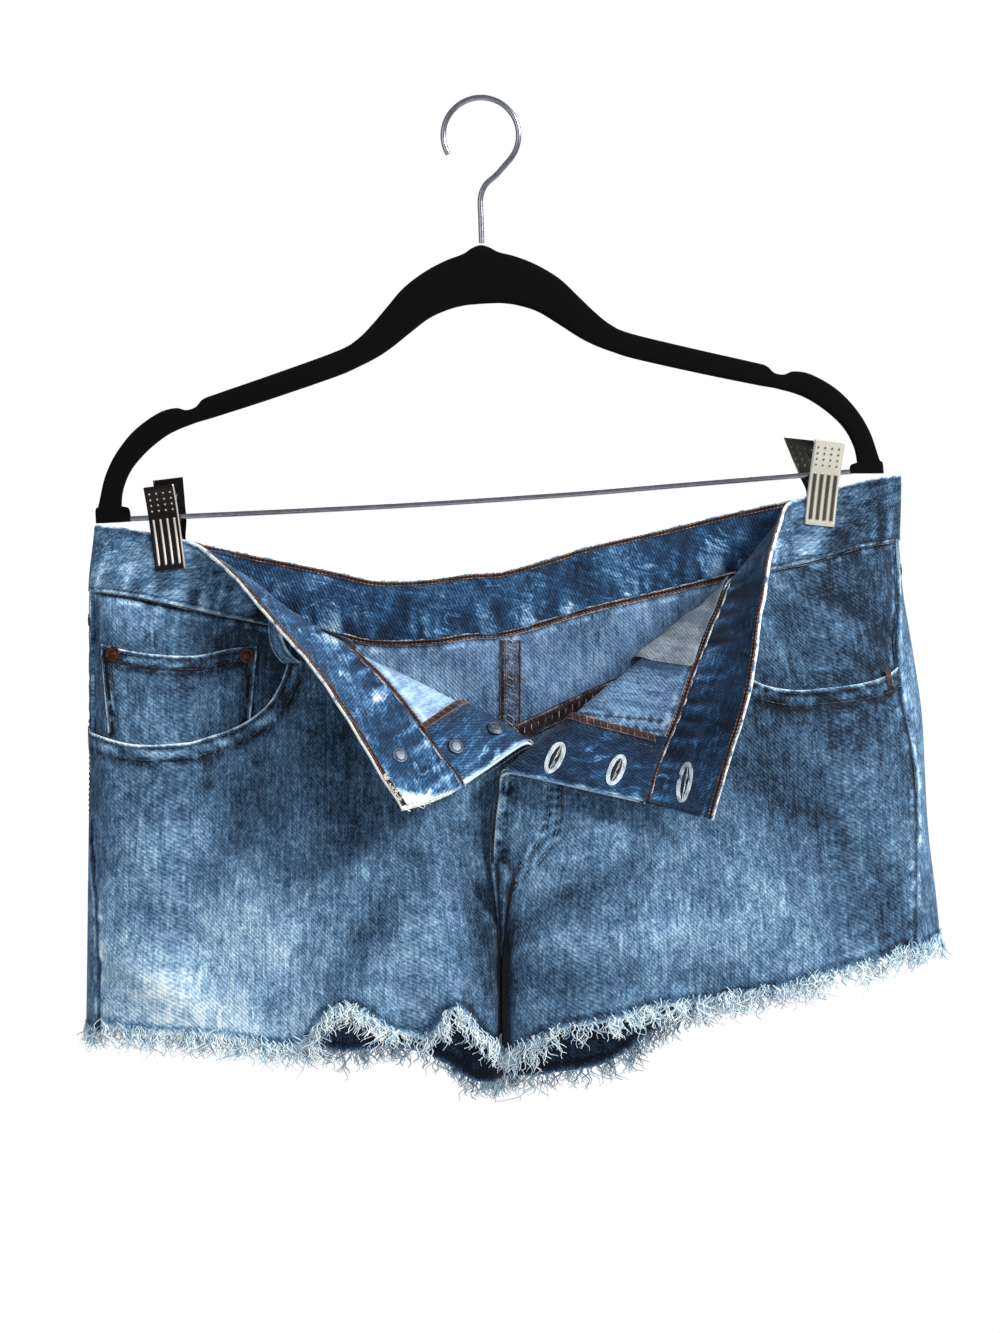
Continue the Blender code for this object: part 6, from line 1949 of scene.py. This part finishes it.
def make_clip_spring(half, looks):
    """The coil round the rod between a clip's plates, with its two arms."""
    t = np.linspace(0, 1, 160)
    angle = t * SPRING_TURNS * 2 * pi + pi / 2
    coil = clip_place(half, (t - 0.5) * SPRING_WIDE, SPRING_RADIUS * np.cos(angle), 0.0)
    coil = coil + np.stack([0 * t, SPRING_RADIUS * np.sin(angle), 0 * t], -1)
    arms = []
    for end, side in ((0, FRONT), (1, BACK)):
        s = np.linspace(0, 1, 14)
        height, out = s * SPRING_ARM, SPRING_RADIUS + s * 5.0
        shift = read(BACK_PLATE[half], height, 2) * s if side == BACK else 0 * s
        arm = clip_place(half, (end - 0.5) * SPRING_WIDE + shift, height, 0.0)
        arms.append(arm + np.stack([0 * s, side * out, 0 * s], -1))
    route = np.vstack([arms[0][::-1], coil, arms[1]])
    wire_piece(side_name("spring", half), route, SPRING_WIRE, looks["nickel"], 8)


# ---- looks ---------------------------------------------------------------
def paint(code):
    """A colour's six hex digits as linear values."""
    channels = [int(code[i:i + 2], 16) / 255 for i in (0, 2, 4)]
    return tuple(c / 12.92 if c <= 0.04045 else ((c + 0.055) / 1.055) ** 2.4 for c in channels) + (1.0,)


def new_look(name):
    made = bpy.data.materials.new(name)
    made.use_nodes = True
    return made, made.node_tree


def fill(tree, node, inputs):
    """Sets a node's inputs, each to a value or another node's output."""
    for key, value in inputs.items():
        if isinstance(value, bpy.types.NodeSocket):
            tree.links.new(value, node.inputs[key])
        else:
            node.inputs[key].default_value = value


def put(tree, kind, inputs=None, **properties):
    node = tree.nodes.new(kind)
    for key, value in properties.items():
        setattr(node, key, value)
    fill(tree, node, inputs or {})
    return node


def dress(made, colour, rough, bumps=None, strength=0.0, high=0.0, **more):
    """Gives a look its colour, roughness, bumps (how strong, how high) and other shader values."""
    tree = made.node_tree
    inputs = {"Base Color": colour, "Roughness": rough, **{key.replace("_", " "): more[key] for key in more}}
    if bumps is not None:
        inputs["Normal"] = put(tree, "ShaderNodeBump", {"Height": bumps, "Strength": strength,
                                                        "Distance": high}).outputs[0]
    fill(tree, tree.nodes["Principled BSDF"], inputs)
    return made


def grain(tree, scale, detail=2.0):
    """Noise over the object itself, with about so many bumps to a metre."""
    place = put(tree, "ShaderNodeTexCoord").outputs["Object"]
    return put(tree, "ShaderNodeTexNoise", {"Vector": place, "Scale": scale, "Detail": detail}).outputs[0]


def pattern_uv(tree):
    return put(tree, "ShaderNodeUVMap", uv_map="pattern").outputs[0]


def maths(tree, kind, a, b=0.0, clamp=False):
    return put(tree, "ShaderNodeMath", {0: a, 1: b}, operation=kind, use_clamp=clamp).outputs[0]


def summed(tree, *terms):
    """Sum of outputs, each with its weight."""
    total = None
    for value, weight in terms:
        part = maths(tree, "MULTIPLY", value, weight)
        total = part if total is None else maths(tree, "ADD", total, part)
    return total


def noise(tree, uv, across, upward, detail=2.0, rough=0.55, distortion=0.0, seed=0.0):
    """Noise over the pattern, with so many bumps to a millimetre each way, about zero."""
    place = put(tree, "ShaderNodeMapping", {"Vector": uv, "Scale": (across / MM, upward / MM, 1.0),
                                            "Location": (seed, seed * 0.7, seed)}).outputs[0]
    made = put(tree, "ShaderNodeTexNoise", {"Vector": place, "Scale": 1.0, "Detail": detail,
                                            "Roughness": rough, "Distortion": distortion},
               noise_dimensions="2D")
    return maths(tree, "SUBTRACT", made.outputs[0], 0.5)


def ramp(tree, value, stops):
    node = put(tree, "ShaderNodeValToRGB", {"Fac": value})
    elements = node.color_ramp.elements
    while len(elements) < len(stops):
        elements.new(0.5)
    for element, (at, code) in zip(elements, stops):
        element.position = at
        element.color = paint(code)
    return node.outputs[0]


def tone_of(tree):
    return put(tree, "ShaderNodeAttribute", attribute_name="tone").outputs["Fac"]


def twill(tree, uv):
    """Diagonal ribs of the weave, from 0 to 1."""
    place = put(tree, "ShaderNodeMapping", {"Vector": uv, "Scale": (1 / MM, 1 / MM, 1.0)}).outputs[0]
    return put(tree, "ShaderNodeTexWave", {"Vector": place, "Scale": 0.314 / TWILL * 0.7, "Distortion": 1.2,
                                           "Detail": 1.0, "Detail Scale": 1.5},
               bands_direction="DIAGONAL").outputs[0]


def cloth_look(name, stops, streak, mottle, flecks=0.0, bump=0.5, turn=0.0):
    """Denim: slubs along the warp, mottling, worn parts and wash by tone, with painted light and shade, and a
    twill weave; turn is the grain's.
    """
    made, tree = new_look(name)
    uv = pattern_uv(tree)
    if turn:
        uv = put(tree, "ShaderNodeMapping", {"Vector": uv, "Rotation": (0.0, 0.0, turn)}).outputs[0]
    warp = noise(tree, uv, 1.15, 0.045, 3.0, 0.7, seed=3.1)
    slubs = noise(tree, uv, 0.42, 0.03, 3.0, 0.6, seed=4.3)
    weft = noise(tree, uv, 0.06, 0.9, 2.0, 0.6, seed=7.7)
    fine = noise(tree, uv, 0.7, 0.45, 3.0, 0.75, seed=1.7)
    blotch = noise(tree, uv, 0.2, 0.13, 3.0, 0.65, 0.4, seed=9.4)
    broad = noise(tree, uv, 0.035, 0.026, 2.0, 0.5, seed=5.2)
    weave = twill(tree, uv)
    terms = [(tone_of(tree), 1.0), (warp, 0.42 * streak), (slubs, 0.34 * streak), (weft, 0.1 * streak),
             (fine, 0.62 * mottle), (blotch, 0.5 * mottle), (broad, 0.3),
             (maths(tree, "SUBTRACT", weave, 0.5), 0.08)]
    if flecks:
        patch = maths(tree, "MULTIPLY", noise(tree, uv, 0.06, 0.05, 2.0, seed=13.0), 3.2)
        patch = maths(tree, "ADD", patch, 0.45, True)
        marks = noise(tree, uv, 0.36, 0.1, 3.0, 0.65, 0.5, seed=11.0)
        marks = maths(tree, "MULTIPLY", maths(tree, "SUBTRACT", marks, 0.04), 4.5, True)
        veins = maths(tree, "ABSOLUTE", noise(tree, uv, 0.15, 0.05, 2.0, 0.5, 0.5, seed=17.0))
        veins = maths(tree, "SUBTRACT", 1.0, maths(tree, "MULTIPLY", veins, 19.0), True)
        for mark, weight in ((marks, 0.5), (veins, 0.85)):
            terms.append((maths(tree, "MULTIPLY", mark, patch), flecks * weight))
    colour = ramp(tree, summed(tree, *terms), stops)
    height = summed(tree, (weave, 0.5), (fine, 0.9), (warp, 0.5), (blotch, 0.8))
    return dress(made, colour, 0.9, height, bump, 0.0006, Specular_IOR_Level=0.2, Sheen_Weight=0.1,
                 Sheen_Roughness=0.5)


def yarn_look(name, stops):
    made, tree = new_look(name)
    speck = noise(tree, pattern_uv(tree), 1.2, 1.2, 2.0, seed=2.0)
    value = summed(tree, (tone_of(tree), 1.0), (speck, 0.5))
    return dress(made, ramp(tree, value, stops), 0.8, Sheen_Weight=0.2)


def metal_look(name, low, high, rough, grime=0.5):
    """Metal with uneven polish and colour."""
    made, tree = new_look(name)
    spots = grain(tree, 420.0, 3.0)
    uneven = put(tree, "ShaderNodeMapRange", {"Value": spots, "To Min": rough * (1 - grime),
                                              "To Max": rough * (1 + grime)}).outputs[0]
    colour = ramp(tree, spots, ((0.3, low), (0.7, high)))
    return dress(made, colour, uneven, spots, 0.08, 0.0002, Metallic=1.0)


def plate_look(name, stops, rough):
    """Painted or plated clip metal, whose ribs and dimples take another tone: painted highlights on most
    plates, painted dark reflections on the right front plate.
    """
    made, tree = new_look(name)
    spots = grain(tree, 900.0)
    value = summed(tree, (tone_of(tree), 0.85), (spots, 0.14))
    return dress(made, ramp(tree, value, stops), rough, spots, 0.06, 0.0002, Metallic=0.55)


def flock_look():
    made, tree = new_look("black_flock")
    fibres = grain(tree, 2600.0)
    colour = ramp(tree, fibres, ((0.3, "030303"), (0.8, "0e0e10")))
    return dress(made, colour, 1.0, fibres, 0.5, 0.0004, Specular_IOR_Level=0.05, Sheen_Weight=0.05)


def thread_looks():
    made = {}
    for thread, (name, *codes) in THREADS.items():
        stops = [(i / (len(codes) - 1), code) for i, code in enumerate(codes)]
        made["thread_" + thread] = yarn_look("thread_" + name, stops)
    return made


def make_looks():
    return {
        "outside": cloth_look("denim_outside", SHADES["outside"], 0.8, 1.0),
        "inside": cloth_look("denim_inside", SHADES["inside"], 0.85, 0.95),
        "band": cloth_look("denim_band_outside", SHADES["outside"], 0.7, 1.2, 0.0, 0.6, 1.35),
        "band_inside": cloth_look("denim_band_inside", SHADES["indigo"], 0.5, 0.6, 0.24, 0.6, 1.25),
        "indigo": cloth_look("denim_fly_inside", SHADES["indigo"], 0.5, 0.65, 0.26, 0.6, 0.25),
        "edge": cloth_look("denim_worn_edge", SHADES["edge"], 0.5, 1.0),
        "brown_band": cloth_look("denim_felled", SHADES["felled"], 0.5, 0.9),
        "cotton": cloth_look("pocket_cotton", SHADES["cotton"], 0.2, 0.5, 0.0, 0.2),
        "fray": yarn_look("frayed_yarn", SHADES["fray"]),
        **thread_looks(),
        "copper": metal_look("copper", "2a1814", "634233", 0.48),
        "nickel": metal_look("nickel", "3f4752", "717c89", 0.52),
        "clip_dark": plate_look("clip_bronze", SHADES["clip_dark"], 0.32),
        "clip_pale": plate_look("clip_champagne", SHADES["clip_pale"], 0.34),
        "clip_grey": plate_look("clip_steel", SHADES["clip_grey"], 0.3),
        "chrome": metal_look("chrome_wire", "8a8b8f", "a2a3a8", 0.24, 0.2),
        "flock": flock_look(),
    }


# ---- stage ---------------------------------------------------------------
def area_light(name, place, size, power, tint):
    data = bpy.data.lights.new(name, "AREA")
    data.size, data.energy, data.color = size, power, tint
    lamp = placed(name, data)
    lamp.location = place
    lamp.rotation_euler = (Vector(LIGHTS_AIM) - lamp.location).to_track_quat("-Z", "Y").to_euler()


def make_floor():
    points = [(r * cos(t), r * sin(t), FLOOR_Z) for r in range(FLOOR_RINGS)
              for t in np.linspace(0, 2 * pi, FLOOR_SIDES + 1)[:-1]]
    mesh = bpy.data.meshes.new("studio_floor")
    mesh.from_pydata(points, [], grid_faces(FLOOR_RINGS, FLOOR_SIDES).tolist())
    made, tree = new_look("studio_paint")
    mesh.materials.append(dress(made, ramp(tree, grain(tree, 30.0), ((0.3, "efefee"), (0.7, "f6f6f6"))), 0.9))
    placed("studio_floor", mesh)


def make_stage():
    make_floor()
    world = bpy.data.worlds.new("studio_air")
    bpy.context.scene.world = world
    world.use_nodes = True
    tree = world.node_tree
    tree.nodes.clear()
    seen = put(tree, "ShaderNodeBackground", {"Color": BACKDROP, "Strength": BACKDROP_BRIGHT})
    lit = put(tree, "ShaderNodeBackground", {"Color": AIR, "Strength": AIR_BRIGHT})
    ray = put(tree, "ShaderNodeLightPath").outputs["Is Camera Ray"]
    mixed = put(tree, "ShaderNodeMixShader", {0: ray, 1: lit.outputs[0], 2: seen.outputs[0]})
    put(tree, "ShaderNodeOutputWorld", {"Surface": mixed.outputs[0]})
    for row in LIGHTS:
        area_light(*row)


def make_camera():
    bpy.context.scene.view_settings.view_transform = "Standard"
    data = bpy.data.cameras.new("camera")
    data.sensor_width = SENSOR
    data.lens = SENSOR * CAMERA_AWAY / FRAME_HIGH
    camera = placed("camera", data)
    camera.location = (FRAME_CENTRE[0] * MM, -CAMERA_AWAY * MM, FRAME_CENTRE[1] * MM)
    camera.rotation_euler = (pi / 2, 0.0, 0.0)
    bpy.context.scene.camera = camera


def main():
    looks = make_looks()
    panel = [looks["outside"], looks["inside"], looks["edge"]]
    fly = [looks["outside"], looks["indigo"], looks["edge"]]
    for half in (LEFT, RIGHT):
        make_front(half, panel)
        make_back(half, panel)
        make_yoke(half, panel)
        make_patch_pocket(half, panel)
        make_pocket_facing(half, panel)
        make_fly_facing(half, fly)
        make_pocket_bag(half, [looks["cotton"]] * 3)
        for layer in (FRONT, BACK):
            make_fringe(layer, half, looks)
        make_clip_plate(half, FRONT, looks)
        make_clip_plate(half, BACK, looks)
        make_clip_spring(half, looks)
    make_waistband([looks["band"], looks["band_inside"], looks["edge"]])
    make_coin_pocket(panel)
    for row in BELT_LOOPS:
        make_belt_loop(*row, looks)
    for row in BUTTONS:
        make_button(*row, looks)
    for index, (x, z) in enumerate(RIVETS, 1):
        make_rivet(index, x, z, looks)
    sew_all(looks)
    gathered(looks)
    make_hanger_body(looks)
    make_hook(looks)
    make_rod(looks)
    make_stage()
    make_camera()


main()
